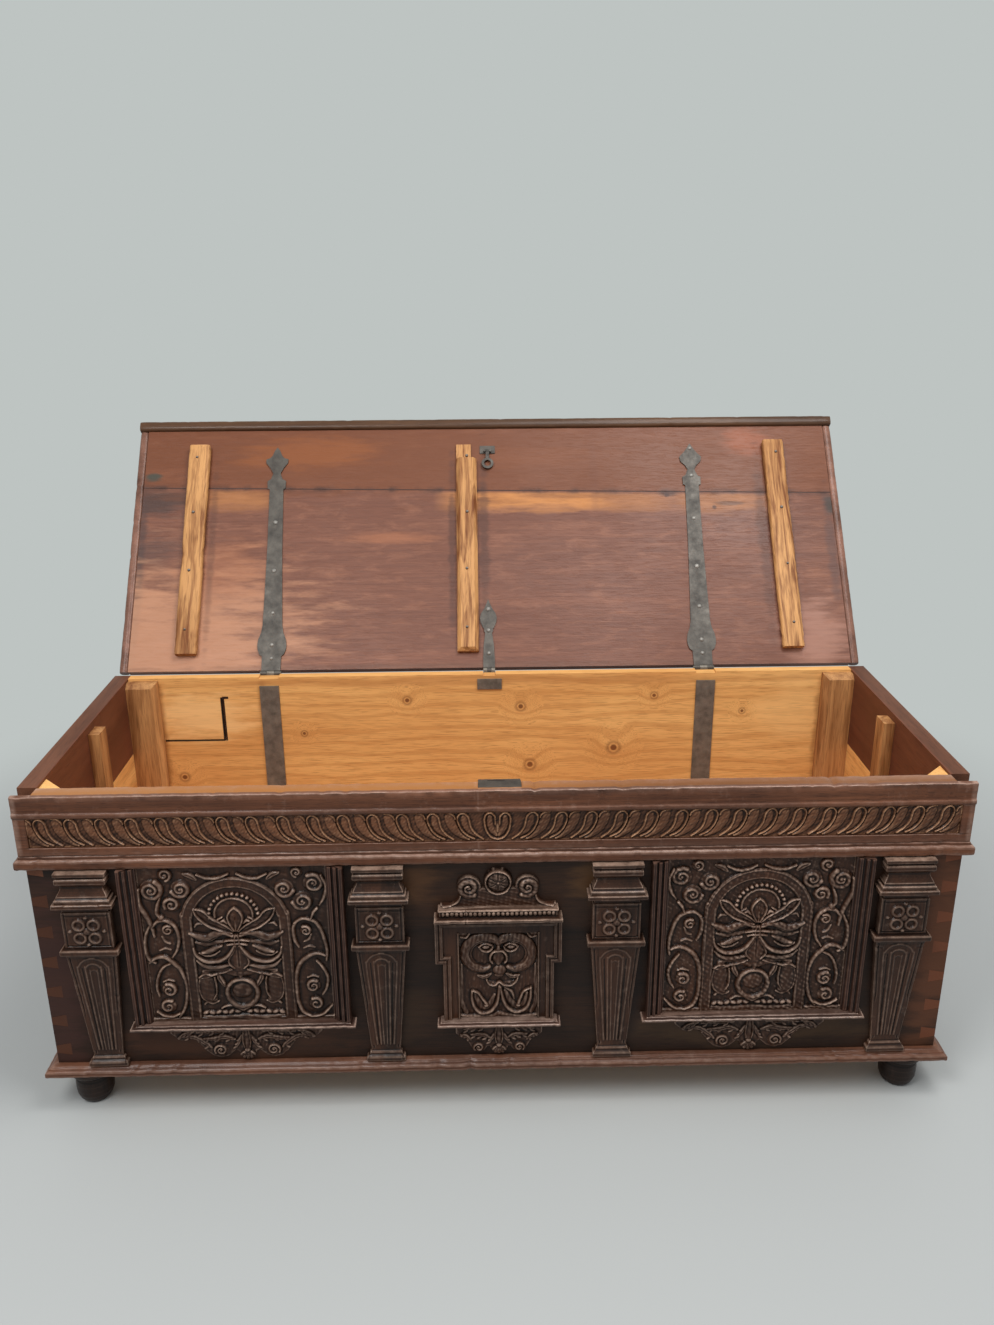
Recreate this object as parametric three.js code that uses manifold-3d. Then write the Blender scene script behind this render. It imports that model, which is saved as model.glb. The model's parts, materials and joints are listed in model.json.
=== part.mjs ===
// A coffer chest on turned feet: carved front with pilasters and framed panels, gadrooned frieze,
// dovetailed front corners, and a plank lid that stands open on wrought strap hinges.
// Millimetres, +Z up, the carved front looks towards -Y.

import * as THREE from 'three';
import { mergeVertices } from 'three/addons/utils/BufferGeometryUtils.js';
import Module from 'manifold-3d';

const wasm = await Module();
wasm.setup();

// Case
const caseWidth = 1650; // over the outer faces of the side boards
const caseDepth = 588; // front face to rear face
const rimHeight = 655; // floor to the rim that the lid closes on
const footHeight = 78;
const frontWall = 28;
const backWall = 22;
const sideWall = 28;
const bottomThick = 20;
const sideSeamDrop = 168; // from the rim to where the upper and lower side boards meet
const seam = 0.3; // left between two pieces that touch
const cutOver = 5; // how far a cutting solid runs past the face that it cuts

// Feet, turned
const footTopRadius = 44;
const footWaistRadius = 33;
const footBunRadius = 35;
const footSoleRadius = 26;
const footCollar = 14; // height of the upper disc
const footSpigotRadius = 12;
const footSpigotLength = 12;
const footInset = 49; // from the case's side and front faces to a foot's centre
const rearFootInset = 52;

// Mouldings round the case: how far each one stands out, and its height
const plinthReach = 21;
const plinthHeight = 22;
const plinthFillet = 5;
const beltReach = 15;
const beltHeight = 27;
const beltFillet = 4;

// Frieze under the rim
const friezeHeight = 114;
const friezeProud = 9; // in front of the case's front face
const friezeSideProud = 6; // beyond its sides
const railHeight = 30;
const beadHeight = 12;
const beadProud = 3;
const friezeFillet = 15; // plain strip under the carving
const friezeEnd = 21; // plain strip at each end of the carving
const friezeSunk = 5; // depth of the carved field
const gadroonCount = 15; // on each side of the middle
const gadroonRise = 3.6;
const heartHalf = 31; // half the width of the middle motif
const keyholeRadius = 4;
const keyholeLength = 17;
const keyholeDrop = 24; // from the top of the carved field to the keyhole's round top

// Dovetails at the front corners
const dovetailCount = 7;
const pinHalfOuter = 8;
const pinHalfInner = 13;

// Corner posts, glue blocks and battens inside
const postWidth = 65;
const postDepth = 26;
const postBevel = 10;
const postShort = 5; // how far the inner posts stay under the rim
const glueBlock = 45;
const sideBattenWidth = 42;
const sideBattenThick = 22;
const sideBattenBack = 20; // behind the middle of the case

// Saw cut in the back board
const kerf = 3.5;
const kerfInset = 227; // from the case's left side to the upright cut
const kerfFootDrop = 150; // from the rim
const kerfTopDrop = 46;
const kerfRun = 132; // of the level cut

// Pilasters: half widths, and how far each part stands out from the front board
const pilasterInset = 98; // from the case's sides to the outer pilasters' centres
const pilasterInner = 211; // from the middle to the inner pilasters' centres
const capHalf = 44;
const capHeight = 58;
const capReach = 24;
const capNeck = 8; // how far the cap's throat is drawn in
const abacusHalf = 53;
const abacusReach = 33;
const abacusHeight = 8;
const throatHeight = 15;
const blockHalf = 43;
const blockReach = 20;
const blockHeight = 72;
const slabHalf = 52;
const slabReach = 28;
const slabHeight = 12;
const shaftTopHalf = 45;
const shaftTopReach = 20;
const shaftFootHalf = 27;
const shaftFootReach = 7;
const baseHalf = 36;
const baseReach = 11;
const baseHeight = 19;
const fluteWidth = 4;
const fluteDepth = 3;
const rosetteRadius = 30;
const rosetteRise = 4;
const petalCount = 4;
const arris = 1; // height of a moulding's sloping edge

// Framed panels
const panelGap = 8; // between a stile and the abacus of the pilaster beside it
const stileWidth = 31;
const stileReach = 21;
const stileInnerReach = 9;
const fieldThick = 6;
const sillHorn = 9; // how far a sill runs past the stiles
const sillReach = 28;
const sillHeight = 11;
const sillRise = 93; // from the plinth to a sill's top
const apronHalf = 127;
const apronThick = 9;
const apronRise = 4; // from the plinth to the aprons' lowest points
const archHalf = 95; // outer half width of the arched band
const archBand = 16;
const archRise = 5;
const archFoot = 12; // from the field's lower edge
const archTop = 36; // from the field's upper edge
const ovalHalf = 30;
const ovalRise = 6;
const leafWidth = 24;

// Middle aedicule
const frameHalf = 101;
const earHalf = 115;
const earHeight = 92;
const crestRoom = 112; // from the belt down to the frame's top
const frameFieldHalf = 71;
const middleBandShare = 0.088; // width of the middle carving's bands, as a share of its height
const frameReach = 15;
const frameStep = 6; // extra height of the frame's inner member
const frameEdge = 9; // width of the frame's outer member
const middleSillHalf = 113;
const middleSillRise = 89;
const middleApronHalf = 78;
const corniceHalf = 114;
const corniceReach = 32;
const corniceHeight = 24;
const crestHalf = 97;
const crestThick = 12;
const bossRadius = 24;
const bossRise = 5;
const scrollRadius = 21;
const scrollAcross = 52;

// Lid
const openAngle = 127.5; // degrees from closed to standing open
const lidFrontOver = 38; // past the case's front face
const lidSideOver = 2;
const lidThick = 22;
const lidSeat = 0.5; // between the closed lid and the rim
const frontPlank = 163; // width of the narrow front plank
const seamSlant = 15; // how far the planks' seam rises at the left end and falls at the right
const lidLip = 25; // width of the front moulding
const lipDrop = 8; // how far it hangs below the planks
const lidEnd = 20; // width of the end mouldings
const lidBattenHalf = 25;
const middleBattenHalf = 24;
const lidBattenThick = 18;
const lidBattenBevel = 8;
const battenRearFree = 14; // from the back board's inner face, with the lid closed
const battenFrontFree = 4;
const outerBattenInset = 146; // from the case's sides
const middleBatten = -51;
const battenStub = 40; // length of the thin end left beside the lock
const battenStubThick = 6;
const battenStubEdge = -40; // the thin end's right edge

// Hinges
const hingeShift = -8; // of the two long hinges together, from the middle of the case
const middleHinge = -5;
const hingeInset = 343; // from the case's sides to the long straps, before the shift
const ironThick = 3;
const knuckleRadius = 6.5;
const knuckleOff = 0.5; // between the knuckles and the rear face
const knuckleGap = 0.5; // between neighbouring knuckles
const pinRadius = 3;
const pinFree = 0.3; // round the pin
const pinHeadRadius = 4.6;
const pinHead = 1.6;
const strapTab = 42;
const finialLength = 84;
const strapKnuckle = 16;
const strapSpade = 65;
const strapSplay = 9; // how far a long strap's tip leans outwards
const strapTipFree = 71; // from the lid's front edge to a long strap's tip
const lowerStrapLength = 300;
const slotDrop = 22; // from the rim to the slot that the lower strap passes
const notchFree = 0.8; // round a strap where it crosses the back board
const middleTab = 26;
const middleKnuckle = 9;
const middleStrapLength = 169;
const middleLeaf = 38;
const slotPlateHalf = 27;
const slotPlateHeight = 24;

// Lock
const lockWidth = 75;
const lockShift = 4.5; // its centre, from the middle of the case
const lockDepth = 28;
const lockHeight = 83;
const lockWall = 2.5;
const lockTopDrop = 10; // from the rim to the case's top
const rimPlateDrop = 0.5;
const rimPlateReach = 24; // how far the plate on the rim runs over the front wall
const haspAcross = -1; // from the middle of the case
const haspFree = 1.5; // round the hasp in the lock's slot
const haspBehind = 21; // from the front wall's inner face to the hasp's pivot, with the lid closed
const haspReach = 33; // pivot to the middle of the ring
const haspRadius = 14;
const haspHole = 8;
const haspThick = 3.6;
const haspBarrel = 9;
const haspBarrelRadius = 3.2;
const haspPinRadius = 1.6;
const haspShank = 8;
const staplePlateHalf = 18;
const staplePlateLength = 20;
const staplePlateThick = 2;
const stapleEar = 4;
const pegLength = 13;
const pegSide = 7;
const pegFree = 0.7; // between the drawn peg and the front board
const pegGuide = 2;

// Planes and levels worked out from the sizes above
const halfWidth = caseWidth / 2;
const frontFace = -caseDepth / 2;
const rearFace = caseDepth / 2;
const innerFront = frontFace + frontWall;
const innerRear = rearFace - backWall;
const innerSide = halfWidth - sideWall;
const floorTop = footHeight + bottomThick;
const wallFoot = floorTop + seam;
const plinthTop = footHeight + plinthHeight;
const friezeFoot = rimHeight - friezeHeight;
const friezeFace = frontFace - friezeProud;
const beltFoot = friezeFoot - beltHeight;
const fieldTop = rimHeight - railHeight - beadHeight;
const fieldFoot = friezeFoot + friezeFillet;
const hingeY = rearFace + knuckleOff + knuckleRadius;
const hingeSpan = caseWidth - 2 * hingeInset;
const sideSeamHeight = rimHeight - sideSeamDrop;
const pilasterOuter = halfWidth - pilasterInset;
const panelCentre = (pilasterOuter + pilasterInner) / 2;
const panelOuterHalf = (pilasterOuter - pilasterInner) / 2 - abacusHalf - panelGap;
const sillHalf = panelOuterHalf + sillHorn;
const sillTop = plinthTop + sillRise;
const middleSillTop = plinthTop + middleSillRise;
const apronFoot = plinthTop + apronRise;
const frameTop = beltFoot - crestRoom;
const lidReach = hingeY - frontFace + lidFrontOver;
const lidHalf = halfWidth + lidSideOver;
const lidBattenNear = hingeY - innerRear + battenRearFree;
const lidBattenFar = hingeY - innerFront - battenFrontFree;
const outerBattens = halfWidth - outerBattenInset;
const strapLength = lidReach - strapTipFree;
const haspAt = hingeY - innerFront - haspBehind; // from the hinge axis
const lidUnder = ironThick / 2 + seam; // the planks' underside, over the hinge axis
const hingeZ = rimHeight + lidSeat - lidUnder;
const lidRear = knuckleRadius + 2 * knuckleGap;
const lockTop = rimHeight - lockTopDrop;
const rimPlateTop = rimHeight - rimPlateDrop;
const haspPivot = lidUnder - seam - staplePlateThick - seam - haspBarrelRadius; // below the hinge axis
const pegZ = hingeZ + haspPivot - haspReach;
const ornamentBack = frontFace - seam;
const ornamentFoot = plinthTop + seam;
const ornamentTop = beltFoot - seam;

// Woods and iron
function material(name, color, roughness, metalness) {
  const made = new THREE.MeshStandardMaterial({ color, roughness, metalness });
  made.name = name;
  return made;
}
const darkWood = material('dark_walnut', 0x432f25, 0.5, 0);
const carvedWood = material('carved_walnut', 0x3c2a21, 0.45, 0);
const railWood = material('reddish_walnut', 0x6e4b3a, 0.5, 0);
const lidWood = material('lid_walnut', 0x8c5f46, 0.55, 0);
const pine = material('pine', 0xcd9b5a, 0.6, 0);
const oak = material('honey_oak', 0xb98a4e, 0.55, 0);
const iron = material('wrought_iron', 0x464442, 0.5, 0.8);

// Solids

// Merges the corners that coincide and drops triangles that have no area.
function welded(geometry) {
  const bare = geometry.clone();
  bare.deleteAttribute('normal');
  bare.deleteAttribute('uv');
  const merged = mergeVertices(bare);
  const from = merged.index.array;
  const corners = [];
  for (let i = 0; i < from.length; i += 3) {
    const [a, b, c] = [from[i], from[i + 1], from[i + 2]];
    if (a !== b && b !== c && c !== a) corners.push(a, b, c);
  }
  return { position: merged.attributes.position.array, corners };
}

// Six times the volume inside the triangles, negative where they face inwards.
function signedVolume(position, corners) {
  const [a, b, c] = [new THREE.Vector3(), new THREE.Vector3(), new THREE.Vector3()];
  let sum = 0;
  for (let i = 0; i < corners.length; i += 3) {
    a.fromArray(position, 3 * corners[i]);
    b.fromArray(position, 3 * corners[i + 1]);
    c.fromArray(position, 3 * corners[i + 2]);
    sum += a.dot(b.cross(c));
  }
  return sum;
}

function solid(geometry) {
  const { position, corners } = welded(geometry);
  if (signedVolume(position, corners) < 0) corners.reverse();
  return new wasm.Manifold(new wasm.Mesh({
    numProp: 3,
    vertProperties: Float32Array.from(position),
    triVerts: Uint32Array.from(corners),
  }));
}

function together(...solids) {
  return solids.flat().reduce((whole, next) => whole.add(next));
}

function cutFrom(body, ...tools) {
  return tools.flat().reduce((rest, tool) => rest.subtract(tool), body);
}

function outline(points) {
  return new THREE.Shape(points.map(([u, v]) => new THREE.Vector2(u, v)));
}

// An outline pushed from one place to another along an axis. Its points are [x, y] for Z,
// [y, z] for X and [x, z] for Y.
function extruded(points, depth) {
  const shape = Array.isArray(points) ? outline(points) : points;
  return new THREE.ExtrudeGeometry(shape, { depth, bevelEnabled: false, steps: 1, curveSegments: 8 });
}

function alongZ(points, from, to) {
  return solid(extruded(points, to - from).translate(0, 0, from));
}

const xFromDepth = new THREE.Matrix4().makeBasis(
  new THREE.Vector3(0, 1, 0), new THREE.Vector3(0, 0, 1), new THREE.Vector3(1, 0, 0));

function alongX(points, from, to) {
  return solid(extruded(points, to - from).applyMatrix4(xFromDepth).translate(from, 0, 0));
}

const yFromDepth = new THREE.Matrix4().makeBasis(
  new THREE.Vector3(1, 0, 0), new THREE.Vector3(0, 0, 1), new THREE.Vector3(0, -1, 0));

function alongY(points, from, to) {
  return solid(extruded(points, to - from).applyMatrix4(yFromDepth).translate(0, to, 0));
}

function block(x0, x1, y0, y1, z0, z1) {
  const box = new THREE.BoxGeometry(x1 - x0, y1 - y0, z1 - z0);
  return solid(box.translate((x0 + x1) / 2, (y0 + y1) / 2, (z0 + z1) / 2));
}

function rodAlongX(radius, from, to, y, z, sides = 20) {
  const rod = new THREE.CylinderGeometry(radius, radius, to - from, sides).rotateZ(Math.PI / 2);
  return solid(rod.translate((from + to) / 2, y, z));
}

function rodAlongY(radius, from, to, x, z, sides = 20) {
  const rod = new THREE.CylinderGeometry(radius, radius, to - from, sides);
  return solid(rod.translate(x, (from + to) / 2, z));
}

// A skin over rings of 3-D points, closed by a face over the first and the last ring.
function skinned(rings, faces) {
  const count = rings[0].length;
  const last = (rings.length - 1) * count;
  const corners = [];
  for (let ring = 0; ring < rings.length - 1; ring += 1) {
    for (let i = 0; i < count; i += 1) {
      const here = ring * count + i;
      const next = ring * count + (i + 1) % count;
      corners.push(here, next, next + count, here, next + count, here + count);
    }
  }
  for (const [a, b, c] of faces) corners.push(c, b, a, last + a, last + b, last + c);
  const geometry = new THREE.BufferGeometry();
  geometry.setAttribute('position', new THREE.Float32BufferAttribute(rings.flat(2), 3));
  geometry.setIndex(corners);
  return solid(geometry);
}

function facesOf(points) {
  const flat = points.map(([u, v]) => new THREE.Vector2(u, v));
  const faces = THREE.ShapeUtils.triangulateShape(flat, []);
  return THREE.ShapeUtils.area(flat) < 0 ? faces.map(([a, b, c]) => [c, b, a]) : faces;
}

// A strip of moulding whose ends are cut to any slant: start and end place a profile point.
function strip(profile, start, end) {
  const rings = [profile.map(([out, z]) => start(out, z)), profile.map(([out, z]) => end(out, z))];
  return skinned(rings, facesOf(profile));
}

// A pile of rectangles that sit against the plane y = back: each level is [z, half width, reach].
// It makes a moulding that returns to the board at both ends.
function returned(levels, x, back) {
  const rings = levels.map(([z, half, reach]) => [
    [x - half, back, z], [x - half, back - reach, z], [x + half, back - reach, z], [x + half, back, z]]);
  return skinned(rings, [[0, 1, 2], [0, 2, 3]]);
}

// Points on an arc about [u, v], from one angle to another, in degrees.
function arc(u, v, radius, from, to, steps) {
  const points = [];
  for (let i = 0; i <= steps; i += 1) {
    const angle = THREE.MathUtils.degToRad(from + (to - from) * i / steps);
    points.push([u + radius * Math.cos(angle), v + radius * Math.sin(angle)]);
  }
  return points;
}

function turned(points, segments, x, y) {
  const profile = points.map(([radius, z]) => new THREE.Vector2(radius, z));
  const lathe = new THREE.LatheGeometry(profile, segments).rotateX(Math.PI / 2);
  return solid(lathe.translate(x, y, 0));
}

const chest = new THREE.Group();
const caseGroup = new THREE.Group();
const lidGroup = new THREE.Group();
chest.add(caseGroup, lidGroup);
lidGroup.position.set(0, hingeY, hingeZ);
lidGroup.rotation.x = -THREE.MathUtils.degToRad(openAngle);

function place(name, body, finish, group = caseGroup) {
  const { vertProperties, triVerts } = body.getMesh();
  const geometry = new THREE.BufferGeometry();
  geometry.setAttribute('position', new THREE.BufferAttribute(vertProperties, 3));
  geometry.setIndex(new THREE.BufferAttribute(triVerts, 1));
  const mesh = new THREE.Mesh(geometry, finish);
  mesh.name = name;
  group.add(mesh);
}

const sides = [['left', -1], ['right', 1]];

// Bottom boards, and the turned feet whose spigots are glued into them
function foot(x, y) {
  const waist = footHeight / 2 + footCollar / 4;
  const bun = footHeight / 3;
  return turned([
    [0, 0], [footSoleRadius, 0], [footBunRadius, bun / 2], [footBunRadius, bun],
    [footWaistRadius, waist], [footWaistRadius + footCollar / 3, footHeight - footCollar],
    [footTopRadius, footHeight - footCollar / 2], [footTopRadius, footHeight - seam],
    [footSpigotRadius, footHeight - seam], [footSpigotRadius, footHeight + footSpigotLength],
    [0, footHeight + footSpigotLength],
  ], 20, x, y);
}

const footX = halfWidth - footInset;
const frontFootY = frontFace + footInset * 2 / 3;
const rearFootY = rearFace - rearFootInset;

function bottomBoard(from, to, footY) {
  const board = block(-halfWidth, halfWidth, from, to, footHeight, floorTop);
  const sockets = sides.map(([, side]) => {
    const hole = new THREE.CylinderGeometry(
      footSpigotRadius + seam, footSpigotRadius + seam, footSpigotLength + seam + cutOver, 20);
    hole.rotateX(Math.PI / 2);
    const middle = footHeight + (footSpigotLength + seam - cutOver) / 2;
    return solid(hole.translate(side * footX, footY, middle));
  });
  return cutFrom(board, sockets);
}

function makeBottom() {
  place('bottom_board_front', bottomBoard(frontFace, -seam / 2, frontFootY), pine);
  place('bottom_board_rear', bottomBoard(seam / 2, rearFace, rearFootY), pine);
  for (const [name, side] of sides) {
    place(`foot_front_${name}`, foot(side * footX, frontFootY), darkWood);
    place(`foot_rear_${name}`, foot(side * footX, rearFootY), darkWood);
  }
}

// Boards of the case. Pins on the side boards show between the front board's tails.
const dovetailPitch = (friezeFoot - seam - wallFoot) / dovetailCount;

function pinOutline(centre, side, growth) {
  const inner = side * innerSide;
  const outer = side * (halfWidth + growth);
  return [
    [inner, centre - pinHalfInner - growth], [outer, centre - pinHalfOuter - growth],
    [outer, centre + pinHalfOuter + growth], [inner, centre + pinHalfInner + growth]];
}

function pinCentres(low, high) {
  const all = Array.from({ length: dovetailCount }, (_, i) => wallFoot + (i + 0.5) * dovetailPitch);
  return all.filter((z) => z > low && z < high);
}

function pins(side, low, high) {
  return pinCentres(low, high).map((z) => alongY(pinOutline(z, side, 0), frontFace, innerFront + cutOver));
}

function makeFrontBoard() {
  const board = block(-halfWidth, halfWidth, frontFace, innerFront, wallFoot, friezeFoot - seam);
  const sockets = sides.flatMap(([, side]) => pinCentres(wallFoot, friezeFoot)
    .map((z) => alongY(pinOutline(z, side, seam), frontFace - cutOver, innerFront + cutOver)));
  place('front_board', cutFrom(board, sockets), darkWood);
}

function sideSlab(side, inner, outer, from, to, low, high) {
  const [near, far] = [side * inner, side * outer].sort((a, b) => a - b);
  return block(near, far, from, to, low, high);
}

function makeSideBoards() {
  const behindFront = innerFront + seam;
  for (const [name, side] of sides) {
    const lower = sideSlab(side, innerSide, halfWidth, behindFront, rearFace, wallFoot, sideSeamHeight);
    place(`side_lower_${name}`, together(lower, pins(side, wallFoot, sideSeamHeight)), pine);
    const low = sideSeamHeight + seam;
    const upper = sideSlab(side, innerSide, halfWidth, behindFront, rearFace, low, rimHeight);
    const reach = halfWidth + friezeSideProud;
    const proud = sideSlab(side, innerSide, reach, behindFront, rearFace, friezeFoot, rimHeight);
    place(`side_upper_${name}`, together(upper, proud, pins(side, low, friezeFoot)), railWood);
  }
}

// The back board lies between the side boards. It is notched for the lid's straps, slotted for the
// lower straps, and has an old saw cut beside the left post.
function strapPlaces() {
  return [
    ['left', hingeShift - hingeSpan / 2, strapTab],
    ['middle', middleHinge, middleTab],
    ['right', hingeShift + hingeSpan / 2, strapTab]];
}

const slotHeight = rimHeight - slotDrop;

function makeBackBoard() {
  const half = innerSide - seam;
  const board = block(-half, half, innerRear, rearFace, wallFoot, rimHeight);
  const through = [innerRear - cutOver, rearFace + cutOver];
  const notchFloor = hingeZ - ironThick / 2 - notchFree;
  const cuts = strapPlaces().flatMap(([, x, width]) => {
    const reach = width / 2 + notchFree;
    const slotHalf = width / 2 + seam;
    const slotReach = ironThick / 2 + seam;
    return [
      block(x - reach, x + reach, ...through, notchFloor, rimHeight + cutOver),
      block(x - slotHalf, x + slotHalf, ...through, slotHeight - slotReach, slotHeight + slotReach)];
  });
  const kerfAcross = halfWidth - kerfInset;
  const [kerfLow, kerfHigh] = [rimHeight - kerfFootDrop, rimHeight - kerfTopDrop];
  const upright = block(-kerfAcross, -kerfAcross + kerf, ...through, kerfLow, kerfHigh);
  const level = block(-kerfAcross - kerfRun, -kerfAcross + 2 * kerf, ...through, kerfLow, kerfLow + kerf);
  place('back_board', cutFrom(board, cuts, upright, level), pine);
}

// Corner posts, glue blocks and battens that stiffen the case from inside
function makeInnerPosts() {
  const top = rimHeight - postShort;
  for (const [name, side] of sides) {
    const wall = side * (innerSide - seam);
    const edge = side * (innerSide - postWidth);
    const rear = innerRear - seam;
    const front = innerRear - postDepth;
    const plan = alongZ([
      [wall, rear], [wall, front], [edge + side * postBevel, front],
      [edge, front + postBevel], [edge, rear]], wallFoot, top);
    const slope = alongX([
      [rear, wallFoot], [front, wallFoot], [front, top - postBevel], [front + postBevel, top], [rear, top]],
    Math.min(wall, edge), Math.max(wall, edge));
    place(`rear_post_${name}`, plan.intersect(slope), oak);

    const near = innerFront + seam;
    place(`glue_block_${name}`, alongZ([
      [wall, near], [wall, near + glueBlock], [wall - side * glueBlock, near]], wallFoot, top), pine);

    const inner = innerSide - sideBattenThick;
    const y0 = sideBattenBack - sideBattenWidth / 2;
    const y1 = y0 + sideBattenWidth;
    const batten = sideSlab(side, inner, innerSide - seam, y0, y1, wallFoot, top - postBevel);
    place(`side_batten_${name}`, batten, oak);
  }
}

// Mouldings that run round the front and both sides, mitred at the front corners.
// A profile point is how far it stands out from the boards, and its height.
function makeRun(name, profile, finish) {
  const mitre = seam / Math.SQRT2; // leaves one seam between the two slanting ends
  place(`${name}_front`, strip(profile,
    (out, z) => [mitre - halfWidth - out, frontFace - out, z],
    (out, z) => [halfWidth + out - mitre, frontFace - out, z]), finish);
  for (const [label, side] of sides) {
    place(`${name}_${label}`, strip(profile,
      (out, z) => [side * (halfWidth + out), frontFace - out + mitre, z],
      (out, z) => [side * (halfWidth + out), rearFace, z]), finish);
  }
}

function makeMouldings() {
  const curl = (plinthHeight - plinthFillet) / 2;
  const roll = plinthReach - curl;
  makeRun('plinth', [
    [seam, footHeight], [plinthReach, footHeight], [plinthReach, footHeight + plinthFillet],
    ...arc(roll, footHeight + plinthFillet + curl, curl, -60, 90, 5),
    [plinthReach / 3, plinthTop - plinthFillet / 3], [seam, plinthTop]], railWood);

  const nose = (beltHeight - beltFillet) / 2;
  makeRun('belt', [
    [seam, beltFoot], ...arc(beltReach - nose, beltFoot + nose, nose, -90, 75, 7),
    [beltReach - nose / 2, friezeFoot - beltFillet], [friezeSideProud, friezeFoot - seam],
    [seam, friezeFoot - seam]], railWood);
}

// Gadroons: each lobe hangs from a round head and sweeps towards the middle as it narrows.
// Its centre line is a quarter ellipse, across = run (1 - cos t) and down = fall sin t.
function gadroonOutline(head, side, pitch) {
  const radius = pitch * 0.21;
  const top = fieldTop - radius - seam;
  const run = pitch * 0.78;
  const fall = top - fieldFoot - radius / 3;
  const steps = 6;
  const toMiddle = [];
  const fromMiddle = [];
  for (let i = 1; i <= steps; i += 1) {
    const angle = Math.PI / 2 * i / steps;
    const half = radius * Math.sqrt(1 - i / (steps + 1));
    const x = run * (1 - Math.cos(angle));
    const z = top - fall * Math.sin(angle);
    const slope = Math.atan2(fall * Math.cos(angle), run * Math.sin(angle));
    toMiddle.push([head - side * (x + half * Math.sin(slope)), z + half * Math.cos(slope)]);
    fromMiddle.unshift([head - side * (x - half * Math.sin(slope)), z - half * Math.cos(slope)]);
  }
  const round = arc(0, 0, radius, 180, 0, 5).map(([u, v]) => [head - side * u, top + v]);
  return [...round, ...toMiddle, ...fromMiddle];
}

const lobeShare = 0.3; // half the height of a heart's lobes, as a share of its height

function heartOutline(half, top, foot) {
  const lobe = half / 2;
  const tall = (top - foot) * lobeShare;
  const right = arc(lobe, 0, lobe, 180, -10, 6).map(([x, z]) => [x, top - tall + z * tall / lobe]);
  const left = right.map(([x, z]) => [-x, z]).reverse();
  const hip = foot + (top - foot) / 4;
  return [...right, [half * 0.72, hip], [0, foot], [-half * 0.72, hip], ...left.slice(0, -1)];
}

function makeFrieze() {
  const end = halfWidth + friezeSideProud;
  const ground = friezeFace + friezeSunk;
  const body = block(-end, end, friezeFace, innerFront, friezeFoot, rimHeight);
  const field = block(-end + friezeEnd, end - friezeEnd, friezeFace - cutOver, ground, fieldFoot, fieldTop);
  const bead = alongX([
    [friezeFace + beadProud, fieldTop], [friezeFace, fieldTop],
    [friezeFace - beadProud, fieldTop + beadHeight / 4],
    [friezeFace - beadProud, fieldTop + beadHeight * 3 / 4],
    [friezeFace, fieldTop + beadHeight], [friezeFace + beadProud, fieldTop + beadHeight]], -end, end);
  const pitch = (end - friezeEnd - heartHalf) / gadroonCount;
  const raised = ground - gadroonRise;
  const lobes = sides.flatMap(([, side]) => Array.from({ length: gadroonCount }, (_, i) => (
    alongY(gadroonOutline(side * (heartHalf + (i + 0.72) * pitch), side, pitch), raised, ground + seam))));
  const heartShape = heartOutline(heartHalf * 0.85, fieldTop - seam, fieldFoot + seam);
  const heart = alongY(heartShape, raised, ground + seam);
  const keyTop = fieldTop - keyholeDrop;
  const keyhole = alongY([
    ...arc(0, keyTop - keyholeRadius, keyholeRadius, -30, 210, 8),
    [-keyholeRadius * 0.7, keyTop - keyholeLength], [keyholeRadius * 0.7, keyTop - keyholeLength]],
  friezeFace - beadProud - cutOver, innerFront + cutOver);
  const recessHalf = lockWidth / 2 + seam;
  const recessFoot = rimPlateTop - lockWall - seam;
  const recess = block(lockShift - recessHalf, lockShift + recessHalf,
    innerFront - rimPlateReach - seam, innerFront + cutOver, recessFoot, rimHeight + cutOver);
  const carved = together(cutFrom(body, field), bead, lobes, heart);
  place('frieze_board', cutFrom(carved, keyhole, recess), carvedWood);
}

// Pilasters, from the plinth up: base, tapering grooved shaft, slab, block with a rosette, throat
// and moulded cap. The share tables give height, half width and reach of the part they shape.
const baseShares = [[0, 1, 1], [0.55, 1, 1], [0.62, 0.93, 0.86], [0.9, 0.88, 0.8], [1, 0.84, 0.72]];
const slabShares = [[0, 0.9, 0.82], [0.2, 1, 1], [0.65, 1, 1], [1, 0.9, 0.84]];
const capShares = [
  [0, 0.9, 0.76], [0.04, 0.97, 0.93], [0.12, 1, 1], [0.2, 0.97, 0.93], [0.24, 0.86, 0.64],
  [0.36, 0.83, 0.5], [0.5, 0.83, 0.5], [0.64, 0.87, 0.62], [0.7, 0.93, 0.76], [0.82, 0.95, 0.84],
  [0.9, 0.98, 0.96], [0.92, 1.02, 1.04], [1, 1.02, 1.04]];

function levelsOf(shares, foot, height, half, reach) {
  return shares.map(([up, wide, out]) => [foot + up * height, wide * half, out * reach]);
}

const capFoot = ornamentTop - capHeight;
const abacusFoot = capFoot - abacusHeight;
const blockTop = abacusFoot - throatHeight;
const blockFoot = blockTop - blockHeight;
const shaftTop = blockFoot - slabHeight;
const shaftFoot = ornamentFoot + baseHeight;

function pilasterLevels() {
  return [
    ...levelsOf(baseShares, ornamentFoot, baseHeight, baseHalf, baseReach),
    [shaftFoot + arris, shaftFootHalf, shaftFootReach],
    [shaftTop - arris, shaftTopHalf, shaftTopReach],
    ...levelsOf(slabShares, shaftTop, slabHeight - arris, slabHalf, slabReach),
    [blockFoot, blockHalf, blockReach], [blockTop, blockHalf, blockReach],
    [blockTop + arris, blockHalf - capNeck, blockReach - capNeck],
    [blockTop + throatHeight / 2, blockHalf - capNeck / 2, blockReach - capNeck / 2],
    [abacusFoot - arris, blockHalf, blockReach],
    [abacusFoot, abacusHalf, abacusReach], [abacusFoot + abacusHeight * 3 / 4, abacusHalf, abacusReach],
    ...levelsOf(capShares, capFoot, capHeight, capHalf, capReach)];
}

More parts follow.
